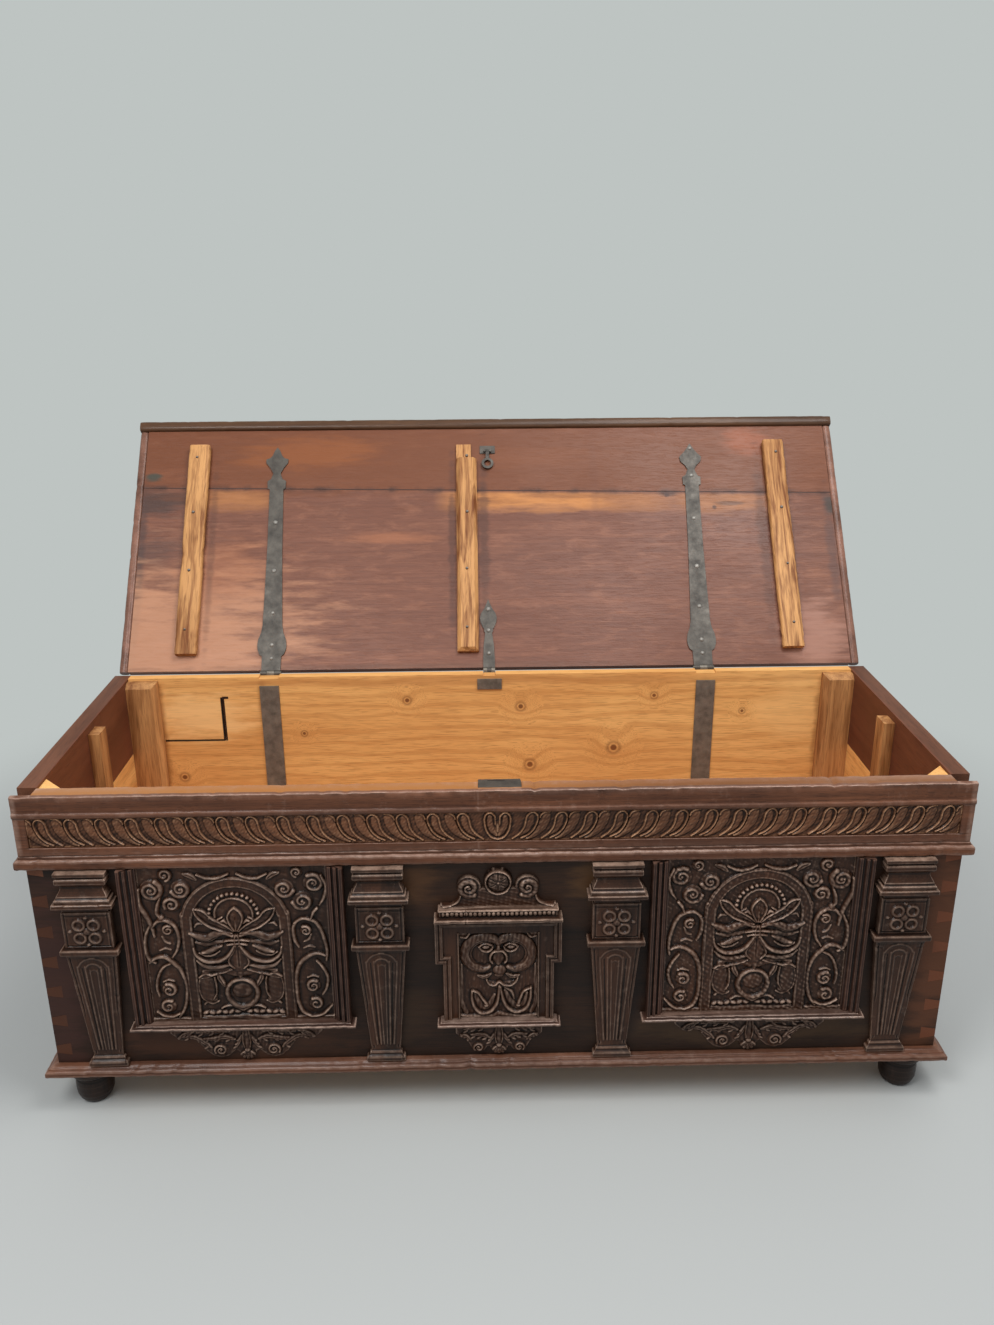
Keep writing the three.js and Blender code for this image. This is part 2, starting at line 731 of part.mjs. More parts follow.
// A groove that follows the shaft's slope: across is its share of the shaft's half width.
function shaftGroove(x, across) {
  const length = shaftTop - shaftFoot;
  const ends = [[shaftFoot + length / 12, 1 / 12], [shaftTop - length / 14, 13 / 14]];
  const rings = ends.map(([z, up]) => {
    const half = THREE.MathUtils.lerp(shaftFootHalf, shaftTopHalf, up);
    const reach = THREE.MathUtils.lerp(shaftFootReach, shaftTopReach, up);
    const middle = x + across * half;
    const floor = ornamentBack - reach + fluteDepth;
    const front = ornamentBack - reach - cutOver;
    return [
      [middle - fluteWidth / 2, floor, z], [middle - fluteWidth / 2, front, z],
      [middle + fluteWidth / 2, front, z], [middle + fluteWidth / 2, floor, z]];
  });
  return skinned(rings, [[0, 1, 2], [0, 2, 3]]);
}

// A pointed oval from one place to another on the front, with its greatest width in the middle.
function leafOutline([x0, z0], [x1, z1], width) {
  const [dx, dz] = [x1 - x0, z1 - z0];
  const length = Math.hypot(dx, dz);
  const [nx, nz] = [-dz / length, dx / length];
  const at = (along, off) => [x0 + dx * along + nx * off, z0 + dz * along + nz * off];
  const offsets = [1, 2, 3, 4, 5].map((i) => [i / 6, width / 2 * Math.sin(Math.PI * i / 6)]);
  return [
    at(0, 0), ...offsets.map(([along, off]) => at(along, off)),
    at(1, 0), ...[...offsets].reverse().map(([along, off]) => at(along, -off))];
}

function ringShape(outer, inner) {
  const shape = outline(outer);
  shape.holes.push(new THREE.Path(inner.map(([u, v]) => new THREE.Vector2(u, v))));
  return shape;
}

function circlePoints(x, z, radius, steps) {
  return arc(x, z, radius, 0, 360 - 360 / steps, steps - 1);
}

// A rosette: a ring round petals and a button. Its face lies at y = front.
function rosette(x, z, front) {
  const into = front + rosetteRise + seam;
  const ring = alongY(ringShape(
    circlePoints(x, z, rosetteRadius, 20), circlePoints(x, z, rosetteRadius - rosetteRise, 20)), front, into);
  const petals = Array.from({ length: petalCount }, (_, i) => {
    const angle = 2 * Math.PI * i / petalCount;
    const tip = [x + (rosetteRadius - rosetteRise / 2) * Math.cos(angle),
      z + (rosetteRadius - rosetteRise / 2) * Math.sin(angle)];
    return alongY(leafOutline([x, z], tip, rosetteRadius * 0.62), front, into);
  });
  const button = rodAlongY(rosetteRadius / 5, front - rosetteRise / 2, into, x, z, 12);
  return together(ring, petals, button);
}

function makePilasters() {
  const centres = [
    ['outer_left', -pilasterOuter], ['inner_left', -pilasterInner],
    ['inner_right', pilasterInner], ['outer_right', pilasterOuter]];
  for (const [name, x] of centres) {
    const body = returned(pilasterLevels(), x, ornamentBack);
    const flower = rosette(x, (blockFoot + blockTop) / 2, ornamentBack - blockReach - rosetteRise);
    const grooves = [-0.62, 0, 0.62].map((across) => shaftGroove(x, across));
    place(`pilaster_${name}`, together(cutFrom(body, grooves), flower), carvedWood);
  }
}

// Framed panels: a carved field between two stiles, over a sill with a hanging apron
const fieldFace = ornamentBack - fieldThick;

function stileOutline(x, side) {
  const inner = x - side * stileWidth / 2;
  const outer = x + side * stileWidth / 2;
  const step = side * stileWidth;
  return [
    [outer, ornamentBack], [outer, ornamentBack - stileReach],
    [outer - step * 0.3, ornamentBack - stileReach],
    [outer - step * 0.36, ornamentBack - stileReach * 0.82],
    [outer - step * 0.44, ornamentBack - stileReach * 0.82],
    [outer - step * 0.5, ornamentBack - stileReach * 0.95],
    [outer - step * 0.62, ornamentBack - stileReach * 0.88],
    [outer - step * 0.74, ornamentBack - stileReach * 0.6],
    [outer - step * 0.84, ornamentBack - stileInnerReach],
    [inner, ornamentBack - stileInnerReach], [inner, ornamentBack]];
}

const sillShares = [[0, 0.95, 0.4], [0.2, 0.97, 0.7], [0.3, 1, 1], [0.78, 1, 1], [1, 0.985, 0.88]];
const apronShares = [
  [1, 1], [1, 0.86], [0.86, 0.74], [0.72, 0.56], [0.62, 0.3], [0.5, 0.14], [0.36, 0.16],
  [0.27, 0.34], [0.2, 0.12], [0.1, 0]];

function apronOutline(x, half, foot, top) {
  const right = apronShares.map(([across, up]) => [x + across * half, foot + up * (top - foot)]);
  const left = apronShares.map(([across, up]) => [x - across * half, foot + up * (top - foot)]).reverse();
  return [...right, ...left];
}

function sillAndApron(x, half, reach, top, apronWide, apronTop) {
  const sill = returned(levelsOf(sillShares, top - sillHeight, sillHeight, half, reach), x, ornamentBack);
  const neck = block(x - apronWide / 2, x + apronWide / 2, ornamentBack - apronThick / 3, ornamentBack,
    apronTop - arris, top - sillHeight + arris);
  const apron = alongY(apronOutline(x, apronWide, apronFoot, apronTop),
    ornamentBack - apronThick, ornamentBack);
  return together(sill, neck, apron);
}

// An arched band: two legs under a half round.
function archOutline(x, half, foot, top) {
  return [[x + half, foot], ...arc(x, top - half, half, 0, 180, 16), [x - half, foot]];
}

function archBandOutline(x, foot, top) {
  const inside = archOutline(x, archHalf - archBand, foot, top - archBand).reverse();
  return [...archOutline(x, archHalf, foot, top), ...inside];
}

function panelCarving(x) {
  const foot = sillTop + archFoot;
  const top = ornamentTop - archTop;
  const [front, into] = [fieldFace - archRise, fieldFace + seam];
  const band = alongY(archBandOutline(x, foot, top), front, into);
  const heart = [x, foot + (top - foot) * 0.56];
  const leaves = leafShares.flatMap(([across, up, wide]) => sides.map(([, side]) => {
    const tip = [x + side * across * archHalf, foot + up * (top - foot)];
    return alongY(leafOutline(heart, tip, wide * leafWidth), front, into);
  }));
  const low = foot + (top - foot) * 0.21;
  const oval = alongY(ringShape(
    circlePoints(x, low, ovalHalf, 18), circlePoints(x, low, ovalHalf - ovalRise, 18)), front, into);
  return together(band, leaves, oval);
}

// Leaf tips as shares of the arch's half width and height, and shares of the leaf's width.
const leafShares = [[0.72, 0.79, 0.8], [0.78, 0.6, 0.75], [0.76, 0.42, 1.1], [0.18, 0.86, 0.8]];

function makePanels() {
  const stileAcross = panelOuterHalf - stileWidth / 2;
  const fieldHalf = panelOuterHalf - stileWidth - seam;
  for (const [name, side] of sides) {
    const x = side * panelCentre;
    const field = block(x - fieldHalf, x + fieldHalf, fieldFace, ornamentBack, sillTop + seam, ornamentTop);
    place(`panel_${name}`, together(field, panelCarving(x)), carvedWood);
    for (const [label, way] of sides) {
      place(`stile_${name}_${label}`, alongZ(
        stileOutline(x + way * stileAcross, way), sillTop + seam, ornamentTop), darkWood);
    }
    place(`sill_${name}`, sillAndApron(x, sillHalf, sillReach, sillTop, apronHalf, sillTop - sillHeight),
      darkWood);
  }
}

// Middle: a small framed panel with ears, under a cornice with a crest
function earedOutline(edge, field) {
  const foot = middleSillTop + seam;
  const outer = [
    [frameHalf - edge, foot], [frameHalf - edge, frameTop - earHeight + edge],
    [earHalf - edge, frameTop - earHeight + edge], [earHalf - edge, frameTop - edge]];
  const inner = [[frameFieldHalf + field, frameFieldTop + field], [frameFieldHalf + field, foot]];
  const mirrored = (points) => points.map(([x, z]) => [-x, z]).reverse();
  return [...outer, ...mirrored(outer), ...mirrored(inner), ...inner];
}

const frameFieldTop = frameTop - frameHalf + frameFieldHalf;

function middleCarving() {
  const [front, into] = [fieldFace - archRise, fieldFace + seam];
  const foot = middleSillTop + seam;
  const tall = frameFieldTop - foot;
  const top = frameFieldTop - seam * 10;
  const band = tall * middleBandShare;
  const wide = frameFieldHalf * 0.88;
  const ringFoot = foot + tall * 0.44;
  const outer = heartOutline(wide, top, ringFoot);
  const hollow = heartOutline(wide - band * 0.8, top - band * 0.8, ringFoot + band);
  const heart = cutFrom(alongY(outer, front, into), alongY(hollow, front - cutOver, fieldFace));
  const nose = alongY(leafOutline([0, top - tall * 0.2], [0, ringFoot - tall * 0.06], band), front, into);
  const scrolls = sides.map(([, side]) => {
    const x = side * frameFieldHalf * 0.42;
    const radius = frameFieldHalf * 0.34;
    const low = foot + radius + tall * 0.06;
    const bend = [...arc(x, low, radius, 180, 360, 10), ...arc(x, low, radius - band / 2, 360, 180, 10)];
    const rise = tall * 0.16;
    const legs = sides.map(([, way]) => {
      const ends = [x + way * radius, x + way * (radius - band / 2)].sort((a, b) => a - b);
      return block(...ends, front, into, low - arris, low + rise);
    });
    return together(alongY(bend, front, into), legs);
  });
  return together(heart, nose, scrolls);
}

const corniceShares = [
  [0, 0.9, 0.7], [0.08, 0.98, 0.92], [0.16, 1, 1], [0.48, 1, 1], [0.56, 0.94, 0.76], [0.6, 0.91, 0.64],
  [0.8, 0.91, 0.64], [0.84, 0.94, 0.7], [1, 0.94, 0.64]];

function crest() {
  const foot = frameTop + seam + corniceHeight - arris;
  const [front, back] = [ornamentBack - crestThick, ornamentBack];
  const sweep = scrollRadius * 1.35;
  const slope = arc(crestHalf, foot + sweep, sweep, 270, 172, 6);
  const plaque = alongY([...slope, ...slope.map(([x, z]) => [-x, z]).reverse()], front, back);
  const scrolls = sides.map(([, side]) => {
    const z = foot + scrollRadius * 1.9;
    const x = side * scrollAcross;
    const eye = rodAlongY(scrollRadius / 2, front - bossRise / 2, back, x, z, 14);
    return together(rodAlongY(scrollRadius, front, back, x, z, 18), eye);
  });
  const bossZ = foot + bossRadius * 2.12;
  const boss = rodAlongY(bossRadius, front - bossRise, back, 0, bossZ, 22);
  return together(plaque, scrolls, boss);
}

function makeMiddle() {
  const foot = middleSillTop + seam;
  const half = frameFieldHalf - seam;
  const field = block(-half, half, fieldFace, ornamentBack, foot, frameFieldTop - seam);
  place('middle_panel', together(field, middleCarving()), carvedWood);
  const frame = alongY(earedOutline(0, 0), ornamentBack - frameReach, ornamentBack);
  const edge = (frameHalf - frameFieldHalf) - frameEdge;
  const raised = alongY(earedOutline(0, edge), ornamentBack - frameReach - frameStep, ornamentBack);
  place('middle_frame', together(frame, raised), darkWood);
  const cornice = returned(
    levelsOf(corniceShares, frameTop + seam, corniceHeight, corniceHalf, corniceReach), 0, ornamentBack);
  place('middle_cornice', together(cornice, crest()), carvedWood);
  const apronTop = middleSillTop - 3 * sillHeight;
  place('middle_sill', sillAndApron(0, middleSillHalf, sillReach, middleSillTop, middleApronHalf, apronTop),
    darkWood);
}

// Hinges. The lid's irons are modelled closed in the lid's own frame, with the hinge axis through
// its origin and the lid reaching towards -Y. How far along the lid a thing lies is minus its y.
const strapCentres = { left: hingeShift - hingeSpan / 2, right: hingeShift + hingeSpan / 2 };
const knuckleFree = knuckleRadius + knuckleGap;
const strapFoot = knuckleFree;

// Half of a strap's outline, as shares of the length up to the finial and of half the spade's width.
const strapShares = [
  [0.082, 0.66], [0.094, 0.86], [0.118, 0.98], [0.14, 1], [0.168, 0.94], [0.2, 0.76], [0.235, 0.68],
  [0.42, 0.6], [0.62, 0.53], [0.945, 0.49], [0.95, 0.64], [0.99, 0.66], [1, 0.42]];
const fleurShares = [
  [0.18, 0.26], [0.36, 0.5], [0.5, 0.78], [0.62, 0.8], [0.66, 0.5], [0.74, 0.34], [0.88, 0.2]];
const spearShares = [[0.18, 0.24], [0.3, 0.4], [0.44, 0.74], [0.58, 0.8], [0.72, 0.46], [0.86, 0.2]];

function strapOutline(x, side, finial) {
  const half = strapSpade / 2;
  const body = strapLength - finialLength;
  const rows = [
    ...strapShares.map(([along, across]) => [along * body, across * half]),
    ...finial.map(([along, across]) => [body + along * finialLength, across * half])];
  const lean = (far) => x + side * strapSplay * (far - strapTab) / strapLength;
  const right = rows.map(([far, wide]) => [lean(far) + wide, -far]);
  const left = rows.map(([far, wide]) => [lean(far) - wide, -far]).reverse();
  return [
    [x + strapTab / 2, -strapFoot], ...right, [lean(strapLength), -strapLength], ...left,
    [x - strapTab / 2, -strapFoot]];
}

function knuckle(x0, x1, y, z) {
  return rodAlongX(knuckleRadius, x0, x1, y, z, 20);
}

// Knuckles at both edges of the strap, with room for the other leaf's knuckle between them.
function lidStrap(x, side, finial) {
  const plate = alongZ(strapOutline(x, side, finial), -ironThick / 2, ironThick / 2);
  const links = sides.map(([, side]) => {
    const [near, far] = [x + side * (strapKnuckle / 2 + knuckleGap), x + side * strapTab / 2]
      .sort((a, b) => a - b);
    const link = block(near, far, -strapFoot - arris, 0, -ironThick / 2, ironThick / 2);
    return together(knuckle(near, far, 0, 0), link);
  });
  const bore = rodAlongX(pinRadius + pinFree, x - strapTab, x + strapTab, 0, 0, 20);
  return cutFrom(together(plate, links), bore);
}

const middleShares = [
  [0.2, 0.66], [0.34, 0.62], [0.44, 0.5], [0.52, 0.4], [0.55, 0.52], [0.58, 0.52], [0.6, 0.66], [0.68, 0.94],
  [0.74, 1], [0.8, 0.86], [0.86, 0.52], [0.92, 0.28], [1, 0]];

function middleStrap(x) {
  const half = middleLeaf / 2;
  const right = middleShares.map(([along, across]) => [x + across * half, -along * middleStrapLength]);
  const left = middleShares.slice(0, -1)
    .map(([along, across]) => [x - across * half, -along * middleStrapLength]).reverse();
  const plate = alongZ([
    [x + middleTab / 2, -strapFoot], [x + middleTab / 2, -strapSpade / 2], ...right, ...left,
    [x - middleTab / 2, -strapSpade / 2], [x - middleTab / 2, -strapFoot]], -ironThick / 2, ironThick / 2);
  const eye = knuckle(x - middleKnuckle / 2, x + middleKnuckle / 2, 0, 0);
  const link = block(x - middleKnuckle / 2, x + middleKnuckle / 2, -strapFoot - arris, 0,
    -ironThick / 2, ironThick / 2);
  const bore = rodAlongX(pinRadius + pinFree, x - middleTab, x + middleTab, 0, 0, 20);
  return cutFrom(together(plate, eye, link), bore);
}

// Lower leaves: down the inside of the back board, out through its slot and up the rear face.
const innerIron = innerRear - seam;
const outerIron = rearFace + seam;

function crank(x, width) {
  const [near, far] = [x - width / 2, x + width / 2];
  return together(
    block(near, far, innerIron - ironThick, outerIron + ironThick,
      slotHeight - ironThick / 2, slotHeight + ironThick / 2),
    block(near, far, outerIron, outerIron + ironThick, slotHeight - ironThick / 2, hingeZ));
}

function lowerStrap(x) {
  const foot = slotHeight - lowerStrapLength;
  const leg = alongY([
    [x - strapTab / 2, foot], [x + strapTab / 2, foot],
    [x + strapTab / 2, slotHeight], [x - strapTab / 2, slotHeight]], innerIron - ironThick, innerIron);
  const body = together(leg, crank(x, strapTab));
  const room = sides.map(([, side]) => {
    const [near, far] = [x + side * strapKnuckle / 2, x + side * strapTab].sort((a, b) => a - b);
    return rodAlongX(knuckleFree, near, far, hingeY, hingeZ, 20);
  });
  const eye = knuckle(x - strapKnuckle / 2, x + strapKnuckle / 2, hingeY, hingeZ);
  return together(cutFrom(body, room), eye);
}

function middleHook(x) {
  const plate = block(x - slotPlateHalf, x + slotPlateHalf, innerIron - ironThick, innerIron,
    slotHeight - slotPlateHeight / 2, slotHeight + slotPlateHeight / 2);
  const room = rodAlongX(knuckleFree, x - middleKnuckle / 2 - knuckleGap, x + middleKnuckle / 2 + knuckleGap,
    hingeY, hingeZ, 20);
  const eyes = sides.map(([, side]) => {
    const [near, far] = [x + side * (middleKnuckle / 2 + knuckleGap), x + side * middleTab / 2]
      .sort((a, b) => a - b);
    return knuckle(near, far, hingeY, hingeZ);
  });
  const pin = rodAlongX(pinRadius, x - middleTab / 2 + arris, x + middleTab / 2 - arris, hingeY, hingeZ, 20);
  return together(cutFrom(together(plate, crank(x, middleTab)), room), eyes, pin);
}

function hingePin(x) {
  const half = strapTab / 2 + seam;
  const shank = rodAlongX(pinRadius, x - half, x + half, hingeY, hingeZ, 20);
  const heads = sides.map(([, side]) => {
    const [near, far] = [x + side * half, x + side * (half + pinHead)].sort((a, b) => a - b);
    return rodAlongX(pinHeadRadius, near, far, hingeY, hingeZ, 16);
  });
  return together(shank, heads);
}

function makeHinges() {
  for (const [name, side, finial] of [['left', -1, fleurShares], ['right', 1, spearShares]]) {
    const x = strapCentres[name];
    place(`lower_strap_${name}`, together(lowerStrap(x), hingePin(x)), iron);
    place(`lid_strap_${name}`, lidStrap(x, side, finial), iron, lidGroup);
  }
  place('middle_hook', middleHook(middleHinge), iron);
  place('lid_strap_middle', middleStrap(middleHinge), iron, lidGroup);
}

// Lid
const plankEdge = lidHalf - lidEnd;
const frontEdge = lidReach - lidLip;
const lidSeam = frontEdge - frontPlank;
const lidTop = lidUnder + lidThick;

function noseOutline(inner, outer, foot) {
  const radius = lidThick / 3;
  const way = Math.sign(outer - inner);
  return [
    [inner, foot], [outer - way * radius / 2, foot], [outer, foot + radius / 2], [outer, lidTop - radius],
    ...arc(0, 0, radius, 30, 90, 2).map(([u, v]) => [outer - way * (radius - u), lidTop - radius + v]),
    [inner, lidTop]];
}

function makeLidBoards() {
  const joint = (side, off) => [side * plankEdge, -(lidSeam - side * seamSlant + off)];
  const rearPlan = [
    [-plankEdge, -lidRear], joint(-1, -seam / 2), joint(1, -seam / 2), [plankEdge, -lidRear]];
  const frontPlan = [
    [-plankEdge, -frontEdge], [plankEdge, -frontEdge], joint(1, seam / 2), joint(-1, seam / 2)];
  const rear = alongZ(rearPlan, lidUnder, lidTop);
  const front = alongZ(frontPlan, lidUnder, lidTop);
  place('lid_plank_rear', rear, lidWood, lidGroup);
  place('lid_plank_front', front, lidWood, lidGroup);
  const nose = noseOutline(-(frontEdge + seam), -lidReach, lidUnder - lipDrop);
  place('lid_moulding_front', alongX(nose, -lidHalf, lidHalf), railWood, lidGroup);
  for (const [name, side] of sides) {
    const profile = noseOutline(side * (plankEdge + seam), side * lidHalf, lidUnder);
    place(`lid_moulding_${name}`, alongY(profile, -frontEdge, -lidRear), railWood, lidGroup);
  }
}

// A batten with its long edges and its rear end bevelled.
function batten(x, half) {
  const [near, far] = [-lidBattenNear, -lidBattenFar];
  const levels = [
    [lidUnder - seam, 0], [lidUnder - seam - lidBattenThick + lidBattenBevel, 0],
    [lidUnder - seam - lidBattenThick, lidBattenBevel]];
  const rings = levels.map(([z, inset]) => [
    [x - half + inset, near - inset, z], [x + half - inset, near - inset, z],
    [x + half - inset, far, z], [x - half + inset, far, z]]);
  return skinned(rings, [[0, 1, 2], [0, 2, 3]]);
}

function makeLidBattens() {
  for (const [name, side] of sides) {
    place(`lid_batten_${name}`, batten(side * outerBattens, lidBattenHalf), oak, lidGroup);
  }
  const stubStart = -(lidBattenFar - battenStub);
  const deep = lidUnder - seam - battenStubThick;
  const under = block(-caseWidth, caseWidth, -lidReach, stubStart, -lidReach, deep);
  const beside = block(battenStubEdge, caseWidth, -lidReach, stubStart, -lidReach, lidTop);
  place('lid_batten_middle', cutFrom(batten(middleBatten, middleBattenHalf), under, beside), oak, lidGroup);
}

// Lock: a case behind the keyhole with a plate let into the rim. A ring swings from a staple on the
// lid, drops into the case as the lid closes, and a square peg slides through it.
const caseFront = innerFront + seam;
const caseRear = innerFront + lockDepth;

function makeLock() {
  const [x0, x1] = [lockShift - lockWidth / 2, lockShift + lockWidth / 2];
  const shell = block(x0, x1, caseFront, caseRear, lockTop - lockHeight, lockTop);
  const riser = block(x0, x1, caseFront, caseFront + lockWall, lockTop - lockWall, rimPlateTop);
  const rimPlate = block(x0, x1, innerFront - rimPlateReach, caseFront + lockWall,
    rimPlateTop - lockWall, rimPlateTop);
  const hollow = block(x0 + lockWall, x1 - lockWall, caseFront - cutOver, caseRear - lockWall,
    lockTop - lockHeight + lockWall, lockTop - lockWall);
  const haspY = hingeY - haspAt;
  const across = haspRadius + haspFree;
  const along = haspThick / 2 + haspFree;
  const slot = block(haspAcross - across, haspAcross + across, haspY - along, haspY + along,
    lockTop - lockHeight / 2, lockTop + cutOver);
  const guideRear = haspY - along;
  const guide = (z0, z1) => block(x0 + arris, x1 - arris, caseFront, guideRear, z0, z1);
  const low = pegZ - pegSide / 2 - seam;
  const high = pegZ + pegSide / 2 + seam;
  place('lock_case', together(cutFrom(together(shell, riser, rimPlate), hollow, slot),
    guide(low - pegGuide, low), guide(high, high + pegGuide)), iron);
  const pegStart = innerFront + pegFree;
  place('lock_peg', block(haspAcross - pegSide / 2, haspAcross + pegSide / 2, pegStart, pegStart + pegLength,
    pegZ - pegSide / 2, pegZ + pegSide / 2), iron);
}

// The hasp lies against the open lid, with its ring towards the hinges.
function makeHasp() {
  const top = lidUnder - seam;
  const ears = sides.map(([, side]) => {
    const [near, far] = [haspBarrel / 2 + seam, haspBarrel / 2 + seam + stapleEar]
      .map((v) => haspAcross + side * v).sort((a, b) => a - b);
    return block(near, far, -haspAt - haspBarrelRadius, -haspAt + haspBarrelRadius,
      haspPivot - haspBarrelRadius, top - arris);
  });
  const pin = rodAlongX(haspPinRadius, haspAcross - haspBarrel / 2 - stapleEar,
    haspAcross + haspBarrel / 2 + stapleEar, -haspAt, haspPivot, 12);
  const plate = block(haspAcross - staplePlateHalf, haspAcross + staplePlateHalf,
    -haspAt - staplePlateLength * 3 / 4, -haspAt + staplePlateLength / 4, top - staplePlateThick, top);
  place('lock_staple', together(plate, ears, pin), iron, lidGroup);

  const ringY = -haspAt + haspReach;
  const [low, high] = [haspPivot - haspThick / 2, haspPivot + haspThick / 2];
  const rim = circlePoints(haspAcross, ringY, haspRadius, 24);
  const ring = alongZ(ringShape(rim, circlePoints(haspAcross, ringY, haspHole, 20)), low, high);
  const shank = block(haspAcross - haspShank / 2, haspAcross + haspShank / 2,
    -haspAt, ringY - haspHole - arris, low, high);
  const barrel = rodAlongX(haspBarrelRadius, haspAcross - haspBarrel / 2, haspAcross + haspBarrel / 2,
    -haspAt, haspPivot, 16);
  const bore = rodAlongX(haspPinRadius + seam, haspAcross - haspBarrel, haspAcross + haspBarrel,
    -haspAt, haspPivot, 12);
  place('lock_hasp', cutFrom(together(ring, shank, barrel), bore), iron, lidGroup);
}

makeBottom();
makeFrontBoard();
makeSideBoards();
makeBackBoard();
makeInnerPosts();
makeMouldings();
makeFrieze();
makePilasters();
makePanels();
makeMiddle();
makeHinges();
makeLidBoards();
makeLidBattens();
makeLock();
makeHasp();

// The origin lies under the middle of the open chest's bounding box, on the floor.
chest.updateMatrixWorld(true);
const bounds = new THREE.Box3().setFromObject(chest, true);
const middle = bounds.getCenter(new THREE.Vector3());
chest.position.set(-middle.x, -middle.y, -bounds.min.z);
chest.updateMatrixWorld(true);

export default chest;
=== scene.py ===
"""The coffer's finish: carved relief, mouldings, irons and surfaces, set on the solid model.

Every piece is worked out in millimetres, in the frame of the solids, and written to its mesh in metres.
A piece of the lid is worked out with the lid closed, in the lid's own frame, and then turned open:
x runs along the hinge, minus y away from it and z up from the hinge's axis.
"""

import json
import math

import bpy
import numpy as np
from bpy.props import FloatProperty, FloatVectorProperty, PointerProperty
from mathutils import Matrix, Vector


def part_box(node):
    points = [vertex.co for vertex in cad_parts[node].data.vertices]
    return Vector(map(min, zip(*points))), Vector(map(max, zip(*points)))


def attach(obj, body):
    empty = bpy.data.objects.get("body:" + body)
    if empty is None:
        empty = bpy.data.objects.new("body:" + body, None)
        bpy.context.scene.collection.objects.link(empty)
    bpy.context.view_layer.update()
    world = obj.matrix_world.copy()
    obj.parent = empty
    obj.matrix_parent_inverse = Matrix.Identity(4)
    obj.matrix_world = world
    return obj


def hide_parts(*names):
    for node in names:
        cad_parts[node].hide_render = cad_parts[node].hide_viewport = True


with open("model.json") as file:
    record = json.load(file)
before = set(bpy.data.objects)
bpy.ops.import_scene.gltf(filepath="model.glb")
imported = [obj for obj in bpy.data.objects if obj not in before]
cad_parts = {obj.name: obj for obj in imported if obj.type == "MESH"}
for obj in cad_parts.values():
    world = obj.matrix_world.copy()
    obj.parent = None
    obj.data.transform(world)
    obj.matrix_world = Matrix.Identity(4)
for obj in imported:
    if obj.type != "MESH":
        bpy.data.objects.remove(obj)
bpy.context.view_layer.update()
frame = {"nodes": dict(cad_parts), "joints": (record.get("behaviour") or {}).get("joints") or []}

bl_info = {
    "name": "Coffer chest",
    "version": (1, 0, 0),
    "blender": (4, 5, 0),
    "location": "3D view > Sidebar > Coffer",
    "description": "Carving, mouldings, irons and finishes of a coffer chest",
    "category": "Object",
}

MM = 0.001


def low(node):
    """Lowest corner of a solid, in mm."""
    return np.array(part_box(node)[0]) / MM


def high(node):
    """Highest corner of a solid, in mm."""
    return np.array(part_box(node)[1]) / MM


FRONT = low("front_board")[1]
REAR = high("back_board")[1]
SEAM = 0.3
BACK = FRONT - SEAM

LID_JOINT = next(joint for joint in frame["joints"] if joint["name"] == "lid_hinge")
HINGE = np.array(LID_JOINT["pos_m"]) / MM
OPEN_ANGLE = math.radians(LID_JOINT["range_deg"][1])


def tone(red, green, blue):
    """A colour given as it is seen, 0 to 255, as the linear values that a shader takes."""
    seen = np.array([red, green, blue]) / 255
    linear = np.where(seen <= 0.04045, seen / 12.92, ((seen + 0.055) / 1.055) ** 2.4)
    return tuple(float(part) for part in linear)


def colour_of(description, red, green, blue):
    """A colour that the user can change."""
    return FloatVectorProperty(
        name=description.capitalize(), description="Colour of " + description, subtype="COLOR",
        default=tone(red, green, blue), min=0.0, max=1.0)


def length_of(name, description, millimetres):
    """A length that the user can change."""
    return FloatProperty(
        name=name, description=description, default=millimetres * MM, min=0.0, max=0.1,
        subtype="DISTANCE", unit="LENGTH", precision=4)


class CofferFinishes(bpy.types.PropertyGroup):
    """Colours of the woods and irons."""

    # The carved and board colours of the front are written darker than the wood, as the shade of a front lit
    # from above: partly painted shade.
    carved: colour_of("the carved walnut", 80, 48, 31)
    # Dark grain of the carving, and the colour laid in its hollows: dirt there, and painted shade.
    carved_hollow: colour_of("the hollows of the carving", 14, 8, 6)
    # Colour of the ridges: wear, and a painted highlight.
    carved_worn_and_highlight: colour_of("the worn ridges of the carving", 170, 142, 124)
    board: colour_of("the front board", 19, 10, 7)
    board_light: colour_of("the front board's paler streaks", 58, 34, 19)
    rail: colour_of("the reddish rails", 122, 76, 52)
    rail_dark: colour_of("the reddish rails' dark grain", 56, 30, 20)
    lid: colour_of("the lid's underside", 126, 76, 52)
    lid_dark: colour_of("the lid's dark grain", 84, 44, 28)
    lid_streak: colour_of("the lid's ochre sapwood", 186, 122, 64)
    pine: colour_of("the pine boards", 252, 202, 128)
    pine_grain: colour_of("the pine's grain and knots", 196, 128, 64)
    oak: colour_of("the battens and posts", 204, 150, 94)
    oak_grain: colour_of("the battens' grain", 112, 62, 28)
    iron: colour_of("the wrought iron", 90, 84, 76)
    iron_dark: colour_of("the iron's scale", 50, 46, 42)


class CofferSizes(bpy.types.PropertyGroup):
    """Sizes of the carving and the nails."""

    gadroon_depth: length_of("Gadroon depth", "Depth of the carved field in the frieze", 5.0)
    panel_depth: length_of("Panel depth", "Height of the carving over the panels' ground", 8.6)
    middle_depth: length_of("Middle depth", "Height of the carving over the middle panel's ground", 8.6)
    nail_radius: length_of("Nail radius", "Radius of the nails' heads", 5)
    stud_rise: length_of("Nail rise", "Height of the nails' heads", 3.0)


# Meshes


def outward(points, quads, caps):
    """Turns a closed shell round if its faces look inwards: the tetrahedra from the origin then sum below 0."""
    a, b, c, d = (points[quads[:, i]] for i in range(4))
    volume = (a * np.cross(b, c)).sum() + (a * np.cross(c, d)).sum()
    for cap in caps:
        corner = points[cap]
        volume += (corner[0] * np.cross(corner[1:-1], corner[2:])).sum()
    if volume < 0:
        return points, quads[:, ::-1], [cap[::-1] for cap in caps]
    return points, quads, caps


